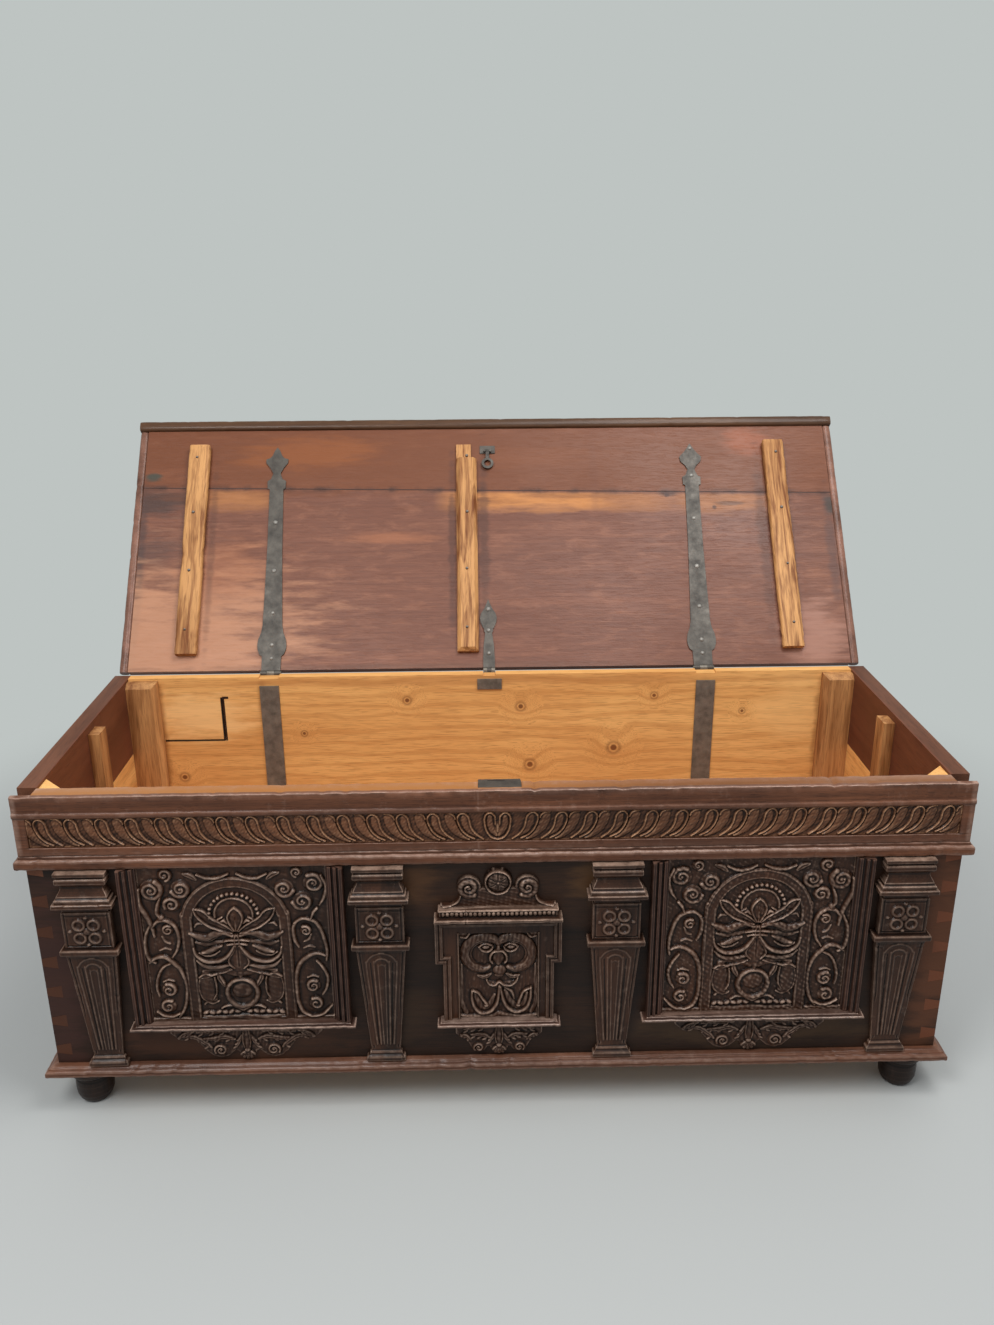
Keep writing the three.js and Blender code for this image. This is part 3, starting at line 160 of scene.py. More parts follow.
def net(rows, cols, around=False):
    """Quads over a grid of points. With around, the last column also joins the first."""
    row = np.arange(rows - 1)[:, None]
    col = np.arange(cols if around else cols - 1)[None, :]
    here = row * cols + col
    beside = row * cols + (col + 1) % cols
    return np.stack([here, beside, beside + cols, here + cols], -1).reshape(-1, 4)


def tube(rings):
    """A closed shell from a stack of rings of points, shape (rings, points, 3), with a flat face at each end."""
    rows, cols = rings.shape[:2]
    first = np.arange(cols)[::-1]
    last = (rows - 1) * cols + np.arange(cols)
    return outward(rings.reshape(-1, 3), net(rows, cols, around=True), [first, last])


def slab(face, back):
    """A closed shell from a grid of points and a flat back at a given y."""
    rows, cols = face.shape[:2]
    index = np.arange(rows * cols).reshape(rows, cols)
    edge = np.concatenate([index[0], index[1:, -1], index[-1, -2::-1], index[-2:0:-1, 0]])
    points = face.reshape(-1, 3)
    behind = points[edge].copy()
    behind[:, 1] = back
    under = rows * cols + np.arange(len(edge))
    skirt = np.stack([np.roll(edge, -1), edge, under, np.roll(under, -1)], -1)
    return outward(np.vstack([points, behind]), np.vstack([net(rows, cols), skirt]), [under[::-1]])


def dome(centre, across, along, out, radius, rise, rings=4, sides=14):
    """A nail's head: circles that shrink as the cosine of an angle while they climb as its sine."""
    climb = np.linspace(0, math.pi / 2 * 0.94, rings)[:, None]
    turn = np.linspace(0, 2 * math.pi, sides, endpoint=False)[None, :]
    wide = radius * np.cos(climb)
    high_up = rise * np.sin(climb) * np.ones_like(turn)
    head = (np.array(centre) + (wide * np.cos(turn))[..., None] * np.array(across)
            + (wide * np.sin(turn))[..., None] * np.array(along) + high_up[..., None] * np.array(out))
    foot = head[:1] - 0.8 * np.array(out)
    return tube(np.concatenate([foot, head]))


def on_lid(points):
    """Turns points of the closed lid about the hinge to the open lid."""
    lean = -OPEN_ANGLE
    y = points[..., 1] * math.cos(lean) - points[..., 2] * math.sin(lean)
    z = points[..., 1] * math.sin(lean) + points[..., 2] * math.cos(lean)
    return np.stack([points[..., 0] + HINGE[0], y + HINGE[1], z + HINGE[2]], -1)


def lid_shell(shell):
    """A shell made in the closed lid's frame, turned open."""
    points, quads, caps = shell
    return on_lid(points), quads, caps


SHARP_DEGREES = 38


def smoothed(values, edges, counts, passes):
    """Averages each point's value with its neighbours', a number of times."""
    for _ in range(passes):
        total = np.bincount(edges[:, 0], values[edges[:, 1]], len(values))
        total += np.bincount(edges[:, 1], values[edges[:, 0]], len(values))
        values = 0.5 * values + 0.5 * total / counts
    return values


def weather(mesh, sunk=None):
    """Stores how far each point is a ridge or a hollow: the finishes lighten ridges for wear and as a painted
    highlight, and darken hollows for dirt and as painted shade.

    Along an edge the two normals part on a ridge and close in a hollow: their difference times the edge's
    direction, over its length, is the bend there, and each point takes the mean of its edges. Ridges that face
    up count for more than those that face down, a painted highlight from the light above, and points sunk
    under their surroundings count as hollow, painted shade.
    """
    count = len(mesh.vertices)
    place = np.empty(count * 3, np.float32)
    mesh.vertices.foreach_get("co", place)
    normal = np.empty(count * 3, np.float32)
    mesh.vertex_normals.foreach_get("vector", normal)
    ends = np.empty(len(mesh.edges) * 2, np.int32)
    mesh.edges.foreach_get("vertices", ends)
    place, normal, ends = place.reshape(-1, 3), normal.reshape(-1, 3), ends.reshape(-1, 2)
    along = place[ends[:, 1]] - place[ends[:, 0]]
    parting = ((normal[ends[:, 1]] - normal[ends[:, 0]]) * along).sum(1) / np.maximum((along ** 2).sum(1),
                                                                                      1e-9)
    counts = np.maximum(np.bincount(ends.ravel(), minlength=count), 1)
    bend = np.bincount(ends[:, 0], parting, count) + np.bincount(ends[:, 1], parting, count)
    bend = smoothed(bend / counts, ends, counts, 1)
    # Facing up strengthens a ridge: a painted highlight from the light above.
    facing = np.clip(normal[:, 2], -0.45, 0.8)
    ridge = np.clip(bend / 210 - 0.09, 0, 1) * (0.62 + facing)
    # Hollows, and the sunk points added below, are darkened later for dirt and as painted shade.
    hollow = np.clip(-smoothed(bend, ends, counts, 2) / 260, 0, 1)
    if sunk is not None:
        hollow[:sunk.size] = np.clip(hollow[:sunk.size] + sunk.ravel(), 0, 1)
    for name, values in (("ridge", ridge), ("hollow", hollow)):
        layer = mesh.attributes.new(name, "FLOAT", "POINT")
        layer.data.foreach_set("value", values.astype(np.float32))


def piece(name, shells, look, body="case", stands_for=(), sunk=None):
    """Puts closed shells into one object that rides on a body and stands for its solids."""
    starts = np.cumsum([0] + [len(points) for points, _, _ in shells])
    points = np.vstack([shell[0] for shell in shells]) * MM
    quads = np.vstack([shell[1] + start for shell, start in zip(shells, starts)])
    caps = [cap + start for shell, start in zip(shells, starts) for cap in shell[2]]
    corners = np.concatenate([quads.ravel(), *caps])
    sizes = np.concatenate([np.full(len(quads), 4), [len(cap) for cap in caps]]).astype(np.int32)
    mesh = bpy.data.meshes.new(name)
    mesh.vertices.add(len(points))
    mesh.vertices.foreach_set("co", points.astype(np.float32).ravel())
    mesh.loops.add(len(corners))
    mesh.loops.foreach_set("vertex_index", corners.astype(np.int32))
    mesh.polygons.add(len(sizes))
    mesh.polygons.foreach_set("loop_start", np.concatenate([[0], np.cumsum(sizes)[:-1]]).astype(np.int32))
    mesh.update(calc_edges=True)
    mesh.polygons.foreach_set("use_smooth", np.ones(len(sizes), bool))
    mesh.set_sharp_from_angle(angle=math.radians(SHARP_DEGREES))
    weather(mesh, sunk)
    mesh.materials.append(look)
    made = bpy.data.objects.new(name, mesh)
    bpy.context.scene.collection.objects.link(made)
    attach(made, body)
    if stands_for:
        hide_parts(*stands_for)
    return made


# Relief carving


def curve(points, per=8):
    """A Catmull-Rom curve: between two points a cubic whose slope at each end follows the neighbours."""
    given = np.asarray(points, float)
    ends = np.vstack([2 * given[0] - given[1], given, 2 * given[-1] - given[-2]])
    t = np.linspace(0, 1, per, endpoint=False)[:, None, None]
    p0, p1, p2, p3 = ends[:-3], ends[1:-2], ends[2:-1], ends[3:]
    line = 0.5 * (2 * p1 + (p2 - p0) * t + (2 * p0 - 5 * p1 + 4 * p2 - p3) * t ** 2
                  + (3 * p1 - p0 - 3 * p2 + p3) * t ** 3)
    return np.vstack([line.transpose(1, 0, 2).reshape(-1, given.shape[1]), given[-1:]])


def spiral(u, v, radius, start, turns, eye=0.22):
    """Points of a volute that starts on a circle and winds in to its eye: the radius falls evenly."""
    share = np.linspace(0, 1, max(int(abs(turns) * 12), 4))
    angle = math.radians(start) + share * turns * 2 * math.pi
    reach = radius * (1 - (1 - eye) * share)
    return np.stack([u + reach * np.cos(angle), v + reach * np.sin(angle)], -1)


def fullness(share):
    """The height of a round edge at a share of the way in from it: the square root of share times (2 - share),
    eased so that the foot isn't upright.
    """
    share = np.clip(share, 0, 1)
    return 0.8 * np.sqrt(share * (2 - share)) + 0.2 * np.sin(math.pi / 2 * share)


class Relief:
    """Heights in mm over a rectangle of an even grid, raised and cut by strokes and domes.

    A mark's height or depth is a share of the relief's own full height, which is 1 mm unless given. bold
    widens every band, and mirror and lift shift the drawing on the grid.
    """

    def __init__(self, u0, u1, v0, v1, pitch, mirror=1, lift=0, bold=1.0, tall=1.0):
        self.bold, self.tall = bold, tall
        self.u = np.linspace(u0, u1, int(round((u1 - u0) / pitch)) + 1)
        self.v = np.linspace(v0, v1, int(round((v1 - v0) / pitch)) + 1)
        self.across, self.up = np.meshgrid(self.u * mirror, self.v - lift)
        self.height = np.zeros_like(self.across)

    def window(self, line, margin):
        """The part of the grid that lies within a margin of a line of points."""
        sign = 1 if self.across[0, -1] > self.across[0, 0] else -1
        ordered = np.sort([sign * (line[:, 0].min() - margin), sign * (line[:, 0].max() + margin)])
        cols = np.searchsorted(sign * self.across[0], ordered)
        rows = np.searchsorted(self.up[:, 0], [line[:, 1].min() - margin, line[:, 1].max() + margin])
        return slice(*rows), slice(*cols)

    def nearness(self, points, width, per=8):
        """Distance to a curve as a share of its half width there, over the window that it reaches."""
        line = curve(points, per)
        share = np.linspace(0, 1, len(line))
        given = np.atleast_1d(np.asarray(width, float))
        half = np.interp(share, np.linspace(0, 1, len(given)), given) / 2 * self.bold
        area = self.window(line, half.max())
        across, up = self.across[area], self.up[area]
        best = np.full(across.shape, np.inf)
        for start, end, near, far in zip(line[:-1], line[1:], half[:-1], half[1:]):
            step = end - start
            size = max(step @ step, 1e-9)
            along = np.clip(((across - start[0]) * step[0] + (up - start[1]) * step[1]) / size, 0, 1)
            gap = np.hypot(across - start[0] - along * step[0], up - start[1] - along * step[1])
            best = np.minimum(best, gap / np.maximum(near + along * (far - near), 1e-3))
        return area, best

    def stroke(self, points, width, share, edge=1.0):
        """Raises a band along a curve: round from its edges inwards, and flat on top where edge is under 1."""
        area, near = self.nearness(points, width)
        swell = fullness((1 - near) / edge)
        self.height[area] = np.maximum(self.height[area], np.where(near < 1, share * self.tall * swell, 0))

    def cut(self, points, width, share):
        """Cuts a groove along a curve: its depth is the sine of how far a point lies inside it."""
        area, near = self.nearness(points, width)
        self.height[area] -= share * self.tall * np.sin(math.pi / 2 * np.clip(1 - near, 0, 1))

    def ball(self, u, v, wide, high_up, share, edge=1.0, turn=0.0):
        """Raises an oval dome, as round as a band, from how far a point lies inside the oval."""
        area = self.window(np.array([[u, v]], float), max(wide, high_up))
        across, up = self.across[area] - u, self.up[area] - v
        lean = math.radians(turn)
        first = across * math.cos(lean) + up * math.sin(lean)
        second = up * math.cos(lean) - across * math.sin(lean)
        near = np.hypot(first / wide, second / high_up)
        swell = fullness((1 - near) / edge)
        self.height[area] = np.maximum(self.height[area], np.where(near < 1, share * self.tall * swell, 0))

    def pit(self, u, v, wide, high_up, share):
        """Sinks an oval bowl, as a groove is cut."""
        area = self.window(np.array([[u, v]], float), max(wide, high_up))
        near = np.hypot((self.across[area] - u) / wide, (self.up[area] - v) / high_up)
        self.height[area] -= share * self.tall * np.sin(math.pi / 2 * np.clip(1 - near, 0, 1))

    def volute(self, u, v, radius, start, turns, width, share, eye_share=None):
        """A volute: a band that winds in and narrows, with a ball at its eye."""
        self.stroke(spiral(u, v, radius - width / 2, start, turns), [width, width * 0.6], share)
        self.ball(u, v, radius * 0.26, radius * 0.26, eye_share or share)

    def sunk(self, reach=7, depth=3.0):
        """How far each point lies under the mean of its surroundings, as a share."""
        mean = self.height
        for axis in (0, 1):
            total = np.cumsum(np.concatenate([np.repeat(np.take(mean, [0], axis), reach + 1, axis), mean,
                                              np.repeat(np.take(mean, [-1], axis), reach, axis)], axis), axis)
            count = mean.shape[axis]
            upper = np.take(total, np.arange(2 * reach + 1, 2 * reach + 1 + count), axis)
            mean = (upper - np.take(total, np.arange(count), axis)) / (2 * reach + 1)
        return np.clip((mean - self.height) / depth, 0, 1)

    def roughen(self, amount, seed, size=9.0):
        """Adds the unevenness of hand work: a few waves of random direction with a given mean length."""
        draw = np.random.default_rng(seed)
        for _ in range(7):
            turn, shift = draw.uniform(0, 2 * math.pi, 2)
            wave = 2 * math.pi / (size * draw.uniform(0.5, 1.8))
            self.height += amount / 3 * np.sin(
                wave * (self.across * math.cos(turn) + self.up * math.sin(turn)) + shift)

    def face(self, ground, centre=0.0):
        """The relief as points that stand out from the plane y = ground."""
        across = np.broadcast_to(self.u + centre, self.height.shape)
        upright = np.broadcast_to(self.v[:, None], self.height.shape)
        return np.stack([across, ground - self.height, upright], -1)

    def at(self, across, up):
        """The height over any points, from the four grid points round each."""
        col = np.clip((across - self.u[0]) / (self.u[1] - self.u[0]), 0, len(self.u) - 1.001)
        row = np.clip((up - self.v[0]) / (self.v[1] - self.v[0]), 0, len(self.v) - 1.001)
        left, foot = col.astype(int), row.astype(int)
        right, rise = col - left, row - foot
        return ((1 - rise) * ((1 - right) * self.height[foot, left] + right * self.height[foot, left + 1])
                + rise * ((1 - right) * self.height[foot + 1, left] + right * self.height[foot + 1,
                                                                                          left + 1]))

    def cut_out(self, inside, plate, rise=3.0):
        """A carved plate with an outline of its own: inside is the distance in from the outline. Points beyond
        it drop behind the board, and the relief sinks towards the outline.
        """
        proud = plate + self.height * np.clip(inside / rise, 0.15, 1)
        proud -= np.where(inside < 1.4, 1.2 * (1 - inside / 1.4), 0)
        face = self.face(BACK)
        face[..., 1] = np.where(inside > 0, BACK - proud, FRONT + 0.6)
        return slab(face, FRONT + 1), np.where(inside > 0, self.sunk(6, 4), 0)

    def pair(self, draw, points, *rest, **more):
        """Draws a line of points and its mirror image."""
        for side in (-1, 1):
            draw([(side * u, v) for u, v in points], *rest, **more)

    def twins(self, points, width, share):
        """A band and its mirror image."""
        self.pair(self.stroke, points, width, share)

    def frond(self, points, width, share):
        """A leaf: a round band that narrows to both ends, with a groove along its middle."""
        self.stroke(points, [width * 0.35, width, width * 0.9, width * 0.3], share)
        self.cut(points, width * 0.28, share * 0.3)


# Finishes


class Nodes:
    """A tree of shader nodes, and short ways to add the common ones."""

    def __init__(self, tree):
        self.tree = tree
        tree.nodes.clear()

    def add(self, kind, inputs=None, **settings):
        """Adds a node, sets its options, and links or sets its inputs."""
        made = self.tree.nodes.new("ShaderNode" + kind)
        for key, value in settings.items():
            setattr(made, key, value)
        for socket, value in (inputs or {}).items():
            if isinstance(value, bpy.types.NodeSocket):
                self.tree.links.new(value, made.inputs[socket])
            else:
                made.inputs[socket].default_value = value
        return made

    def sums(self, kind, first, second=0.0, clamp=False):
        """One step of arithmetic."""
        return self.add("Math", {0: first, 1: second}, operation=kind, use_clamp=clamp).outputs["Value"]

    def plus(self, first, second):
        """The sum of two values."""
        return self.sums("ADD", first, second)

    def times(self, first, second, clamp=False):
        """The product of two values."""
        return self.sums("MULTIPLY", first, second, clamp)

    def most(self, values):
        """The greatest of a list of values."""
        found = values[0]
        for value in values[1:]:
            found = self.sums("MAXIMUM", found, value)
        return found

    def spread(self, value, start, end, to_start=0.0, to_end=1.0, smooth=False):
        """Maps a range of values onto another and clamps it."""
        return self.add("MapRange", {
            "Value": value, "From Min": start, "From Max": end, "To Min": to_start, "To Max": to_end},
            interpolation_type="SMOOTHSTEP" if smooth else "LINEAR").outputs["Result"]

    def noise(self, at, scale, detail=4.0, rough=0.55, seed=0.0, bent=0.0):
        """Noise over coordinates stretched by a scale for each axis, shifted by a seed."""
        placed = self.add("Mapping", {
            "Vector": at, "Scale": scale, "Location": (seed * 7.3, seed * 3.1, seed * 5.7)}).outputs["Vector"]
        made = self.add("TexNoise", {
            "Vector": placed, "Scale": 1.0, "Detail": detail, "Roughness": rough, "Distortion": bent})
        return made.outputs["Fac"]

    def vector(self, kind, first, second=(0.0, 0.0, 0.0)):
        """One step of arithmetic on vectors."""
        made = self.add("VectorMath", {0: first, 1: second}, operation=kind)
        return made.outputs["Value" if kind in ("LENGTH", "DISTANCE") else "Vector"]

    def parts(self, vector):
        """The three parts of a vector."""
        return self.add("SeparateXYZ", {"Vector": vector}).outputs

    def blend(self, share, first, second):
        """Mixes two colours."""
        made = self.add("Mix", data_type="RGBA", blend_type="MIX")
        first_in, second_in = made.inputs[6], made.inputs[7]
        for socket, value in ((made.inputs["Factor"], share), (first_in, first), (second_in, second)):
            if isinstance(value, bpy.types.NodeSocket):
                self.tree.links.new(value, socket)
            else:
                socket.default_value = value if isinstance(value, float) else (*value[:3], 1.0)
        return made.outputs[2]

    def layer(self, name):
        """A value stored on the mesh's points; it is 0 where a mesh has none."""
        return self.add("Attribute", attribute_name=name, attribute_type="GEOMETRY").outputs["Fac"]


def grain(along, slow, fast):
    """Scale for each axis: slow along the grain, fast across it."""
    return tuple(slow if axis == along else fast for axis in range(3))


class Finish(Nodes):
    """A material under way: its principled shader, the object's own coordinates and the colour so far."""

    def __init__(self, name, lid=False):
        self.material = bpy.data.materials.new(name)
        self.material.use_nodes = True
        super().__init__(self.material.node_tree)
        self.shader = self.add("BsdfPrincipled")
        self.out = self.add("OutputMaterial", {"Surface": self.shader.outputs["BSDF"]})
        self.out.is_active_output = True
        self.at = self.add("TexCoord").outputs["Object"]
        if lid:
            self.close_lid()

    def close_lid(self):
        """Turns the coordinates back with the lid: x along the hinge, minus y away from it, z up."""
        hinge = Matrix.Rotation(OPEN_ANGLE, 3, "X") @ Vector(HINGE * MM)
        self.at = self.add("Mapping", {
            "Vector": self.at, "Rotation": (OPEN_ANGLE, 0.0, 0.0),
            "Location": tuple(-hinge)}).outputs["Vector"]

    def tint(self, share, colour):
        """Lays a colour over the colour so far."""
        self.colour = self.blend(share, self.colour, colour)

    def wood(self, along, dark, light, seed, figure=14.0, contrast=1.0):
        """A board's colour, with its height and patches: wavy year rings, fine fibres and dark pores, drawn out
        along the grain.
        """
        rings = self.noise(self.at, grain(along, figure * 0.09, figure), 3.0, 0.6, seed, bent=0.9)
        fibres = self.noise(self.at, grain(along, 7.0, 260.0), 3.0, 0.65, seed + 1)
        pores = self.noise(self.at, grain(along, 26.0, 900.0), 1.0, 0.5, seed + 2)
        patches = self.noise(self.at, (2.6, 2.6, 2.6), 2.0, 0.5, seed + 3)
        mixed = self.plus(self.times(self.spread(rings, 0.32, 0.68), 0.62), self.times(fibres, 0.5))
        shade = self.spread(mixed, 0.5 - 0.42 / contrast, 0.5 + 0.42 / contrast)
        self.colour = self.blend(shade, dark, light)
        self.tint(self.spread(patches, 0.35, 0.7, 0.0, 0.34), dark)
        dots = self.spread(pores, 0.36, 0.44, 0.4, 0.0)
        self.tint(dots, tuple(part * 0.45 for part in dark[:3]))
        return self.sums("SUBTRACT", fibres, dots), patches

    def flat(self, second, sign=1.0):
        """Two of the coordinates as a flat vector: x, and y or z with a sign."""
        parts = self.parts(self.at)
        return self.add("CombineXYZ", {"X": parts[0], "Y": self.times(parts[second], sign)}).outputs["Vector"]

    def ragged(self, fast, seed):
        """Noise drawn out along x, which frays the edge of a stain."""
        return self.spread(self.noise(self.at, grain(0, 9.0, fast), 4.0, 0.6, seed), 0.3, 0.7, -0.4, 0.4)

    def tint_ovals(self, flat, ragged, spots):
        """Tints ovals with ragged edges, each given as its middle and half sizes in mm, its tint and share."""
        for u, v, half_u, half_v, colour, share in spots:
            away = self.vector("SUBTRACT", flat, (u * MM, v * MM, 0.0))
            squeezed = self.vector("MULTIPLY", away, (1 / (half_u * MM), 1 / (half_v * MM), 0.0))
            far = self.plus(self.vector("LENGTH", squeezed), ragged)
            self.tint(self.spread(far, 0.35, 1.2, share, 0.0, smooth=True), tone(*colour))

    def done(self, height, patches, rough, depth, specular, strength=0.5):
        """Links the colour, a polish between two values that follows the patches, and a bumpy surface. The
        roughness may also be a value that is ready.
        """
        if isinstance(rough, tuple):
            rough = self.spread(patches, 0.3, 0.7, *rough)
        self.tree.links.new(self.colour, self.shader.inputs["Base Color"])
        self.tree.links.new(rough, self.shader.inputs["Roughness"])
        self.shader.inputs["Specular IOR Level"].default_value = specular
        bump = self.add("Bump", {"Height": height, "Strength": strength, "Distance": depth * MM})
        self.tree.links.new(bump.outputs["Normal"], self.shader.inputs["Normal"])
        return self.material


HONEY = tone(158, 104, 56)
RIM_FADE = (-0.1, 0.3)


def waxed(c, name, dark, light, worn, along, seed, gloss, wear, inner=None):
    """Old waxed wood: ridges paled for wear and as a painted highlight, in the worn colour by the share wear,
    hollows darkened for dirt and as painted shade, and a polish that varies. A second colour can cover the
    rim behind the front's mouldings.
    """
    ink = Finish(name)
    height, patches = ink.wood(along, dark, light, seed)
    if inner:
        x, y, z = ink.parts(ink.at)
        behind = ink.times(ink.spread(y, (FRONT - 0.6) * MM, (FRONT + 0.6) * MM),
                           ink.spread(z, (FRIEZE_TOP - 6) * MM, (FRIEZE_TOP - 2) * MM))
        ink.tint(ink.times(behind, ink.spread(x, *RIM_FADE, 1.0, 0.35)), inner)
    scuffs = ink.noise(ink.at, (60.0, 60.0, 60.0), 5.0, 0.7, seed + 5)
    ridge = ink.times(ink.layer("ridge"), ink.spread(scuffs, 0.3, 0.62, 0.25, 1.0))
    hollow = ink.layer("hollow")
    # Ridges take the worn colour: wear, and a painted highlight that is stronger where they face up.
    ink.tint(ink.times(ridge, wear, clamp=True), worn)
    # Hollows take the dark colour: dirt, and painted shade.
    ink.tint(ink.times(hollow, 0.9, clamp=True), c.carved_hollow)
    ink.tint(ink.times(ink.spread(scuffs, 0.58, 0.78), 0.16), worn)
    dull = ink.plus(ink.spread(patches, 0.3, 0.7, gloss - 0.06, gloss + 0.1), ink.times(hollow, 0.3))
    rough = ink.sums("SUBTRACT", dull, ink.times(ridge, 0.08), clamp=True)
    ink.shader.inputs["Coat Weight"].default_value = 0.22
    ink.shader.inputs["Coat Roughness"].default_value = 0.2
    return ink.done(ink.plus(height, ink.times(scuffs, 0.7)), patches, rough, 0.5, 0.12)


def add_knots(ink, flat, knots):
    """Knots given as (x, z, radius) in mm. Each darkens by its distance in rings, and the grain bends round it,
    because the distance also shifts the coordinates. Returns how dark each point is.
    """
    darks = []
    swirl = None
    for x, z, radius in knots:
        away = ink.vector("DISTANCE", flat, (x * MM, z * MM, 0.0))
        core = ink.spread(away, radius * 0.45 * MM, radius * 0.75 * MM, 1.0, 0.0, smooth=True)
        ring = ink.times(ink.spread(away, radius * 0.7 * MM, radius * 1.1 * MM),
                         ink.spread(away, radius * 1.1 * MM, radius * 1.7 * MM, 0.6, 0.0))
        darks.append(ink.sums("MAXIMUM", core, ring))
        pull = ink.spread(away, 0.0, radius * 6 * MM, radius * 0.0022, 0.0, smooth=True)
        swirl = pull if swirl is None else ink.plus(swirl, pull)
    push = ink.add("CombineXYZ", {"Z": swirl, "Y": swirl}).outputs["Vector"]
    ink.at = ink.vector("ADD", ink.at, push)
    return ink.most(darks)


def late_wood(ink, along, seed):
    """Thin wavy lines of late wood: bands across the grain, bent by noise and cut to narrow crests."""
    placed = ink.add("Mapping", {
        "Vector": ink.at, "Scale": grain(along, 0.22, 1.0), "Location": (seed, seed * 0.7, seed * 0.3)})
    waves = ink.add("TexWave", {
        "Vector": placed.outputs["Vector"], "Scale": 11.0, "Distortion": 7.0, "Detail": 2.5,
        "Detail Scale": 1.3,
        "Detail Roughness": 0.55}, bands_direction="Z").outputs["Fac"]
    return ink.spread(waves, 0.55, 0.95, smooth=True)


def painted_slot_shade(ink, flat, slots):
    """Painted shade in cuts: dark slots, each given by its middle and half sizes in mm."""
    for u, v, *halves in slots:
        parts = ink.parts(ink.vector("SUBTRACT", flat, (u * MM, v * MM, 0.0)))
        inside = [ink.spread(ink.sums("ABSOLUTE", part), (half - 0.5) * MM, (half + 0.5) * MM, 1.0, 0.0)
                  for part, half in zip(parts[:2], halves)]
        # The dark of the slot is painted shade.
        ink.tint(ink.times(*inside), tone(44, 24, 14))


def bare(name, dark, light, along, seed, figure, contrast, knots=(), lid=False, lines=0.0, spots=(),
         slots=()):
    """Bare or lightly worn boards, with knots and late-wood lines, and inside tinted ovals and dark slots of
    painted shade; ridges pale for wear and as a painted highlight, hollows darken for dirt and as painted shade.
    """
    ink = Finish(name, lid)
    flat = ink.flat(1 if lid else 2, -1.0 if lid else 1.0)
    board_back = high("back_board")[1]
    rear = ink.spread(ink.parts(ink.at)[1], (board_back - 12) * MM, (board_back - 10) * MM)
    knot_dark = add_knots(ink, flat, knots) if knots else None
    height, patches = ink.wood(along, dark, light, seed, figure, contrast)
    if lines:
        ink.tint(ink.times(late_wood(ink, along, seed), lines), tuple(part * 0.8 for part in dark[:3]))
    outside = ink.colour
    if spots:
        ink.tint_ovals(flat, ink.ragged(40.0, seed), spots)
        painted_slot_shade(ink, flat, slots)
        ink.tint(rear, outside)
    if knots:
        ink.tint(ink.times(knot_dark, 0.85), tone(104, 52, 24))
    # Ridges paled and hollows darkened: wear and dirt, and a painted highlight and painted shade.
    ink.tint(ink.times(ink.layer("ridge"), 0.35, clamp=True), light)
    ink.tint(ink.times(ink.layer("hollow"), 0.8, clamp=True), tuple(part * 0.3 for part in dark[:3]))
    return ink.done(height, patches, (0.5, 0.67), 0.4, 0.25)


# The seam between the lid's planks: its distance from the hinge in the middle, in metres, and its fall along x.
SEAM_MIDDLE = 0.445
SEAM_FALL = 0.0186
# Runs of sapwood: their start and end, the length of their fade, and their strength.
OCHRE_RUNS = ((-50, 300, 80, 0.95), (-645, -500, 30, 0.5), (470, 650, 60, 0.4), (300, 430, 60, 0.4))
LID_SPOTS = [
    # Among these, the pale ovals at (-700, 60) and (740, 80) are a painted reflection, and the dark strips at x
    # -86 and -12, beside the middle batten, are painted shadow and dirt.
    (-770, 424, 80, 38, (58, 42, 38), 0.8), (-775, 300, 90, 45, (74, 50, 44), 0.65),
    (-802, 250, 14, 230, (66, 46, 42), 0.7), (-700, 60, 330, 230, (198, 142, 106), 0.6),
    (0, 520, 1100, 110, (104, 56, 28), 0.65),
    (-620, 250, 110, 90, (150, 92, 60), 0.45), (-250, 325, 130, 16, (160, 100, 66), 0.5),
    (740, 80, 90, 90, (184, 136, 116), 0.45), (-785, 488, 24, 12, (52, 60, 52), 0.85),
    (803, 395, 13, 26, (46, 50, 44), 0.85), (425, 432, 28, 10, (66, 44, 38), 0.75),
    (560, 404, 34, 7, (66, 44, 38), 0.6), (796, 290, 14, 170, (78, 56, 52), 0.55),
    (-420, 545, 170, 44, (140, 78, 34), 0.5), (120, 530, 200, 30, (122, 70, 40), 0.4),
    (620, 565, 60, 40, (156, 84, 50), 0.45), (-86, 300, 10, 260, (70, 40, 30), 0.6),
    (-12, 330, 14, 240, (70, 40, 30), 0.6), (640, 300, 16, 250, (76, 44, 32), 0.55),
    (-640, 300, 10, 240, (76, 44, 32), 0.4), (0, 12, 800, 9, (96, 62, 46), 0.5),
    (250, 470, 12, 130, (96, 56, 42), 0.2)]
LID_KNOTS = [(530, 395, 7), (420, 428, 8)]
# Above this height over the hinge the lid shows its outer face.
LID_UPPER = (12, 14)


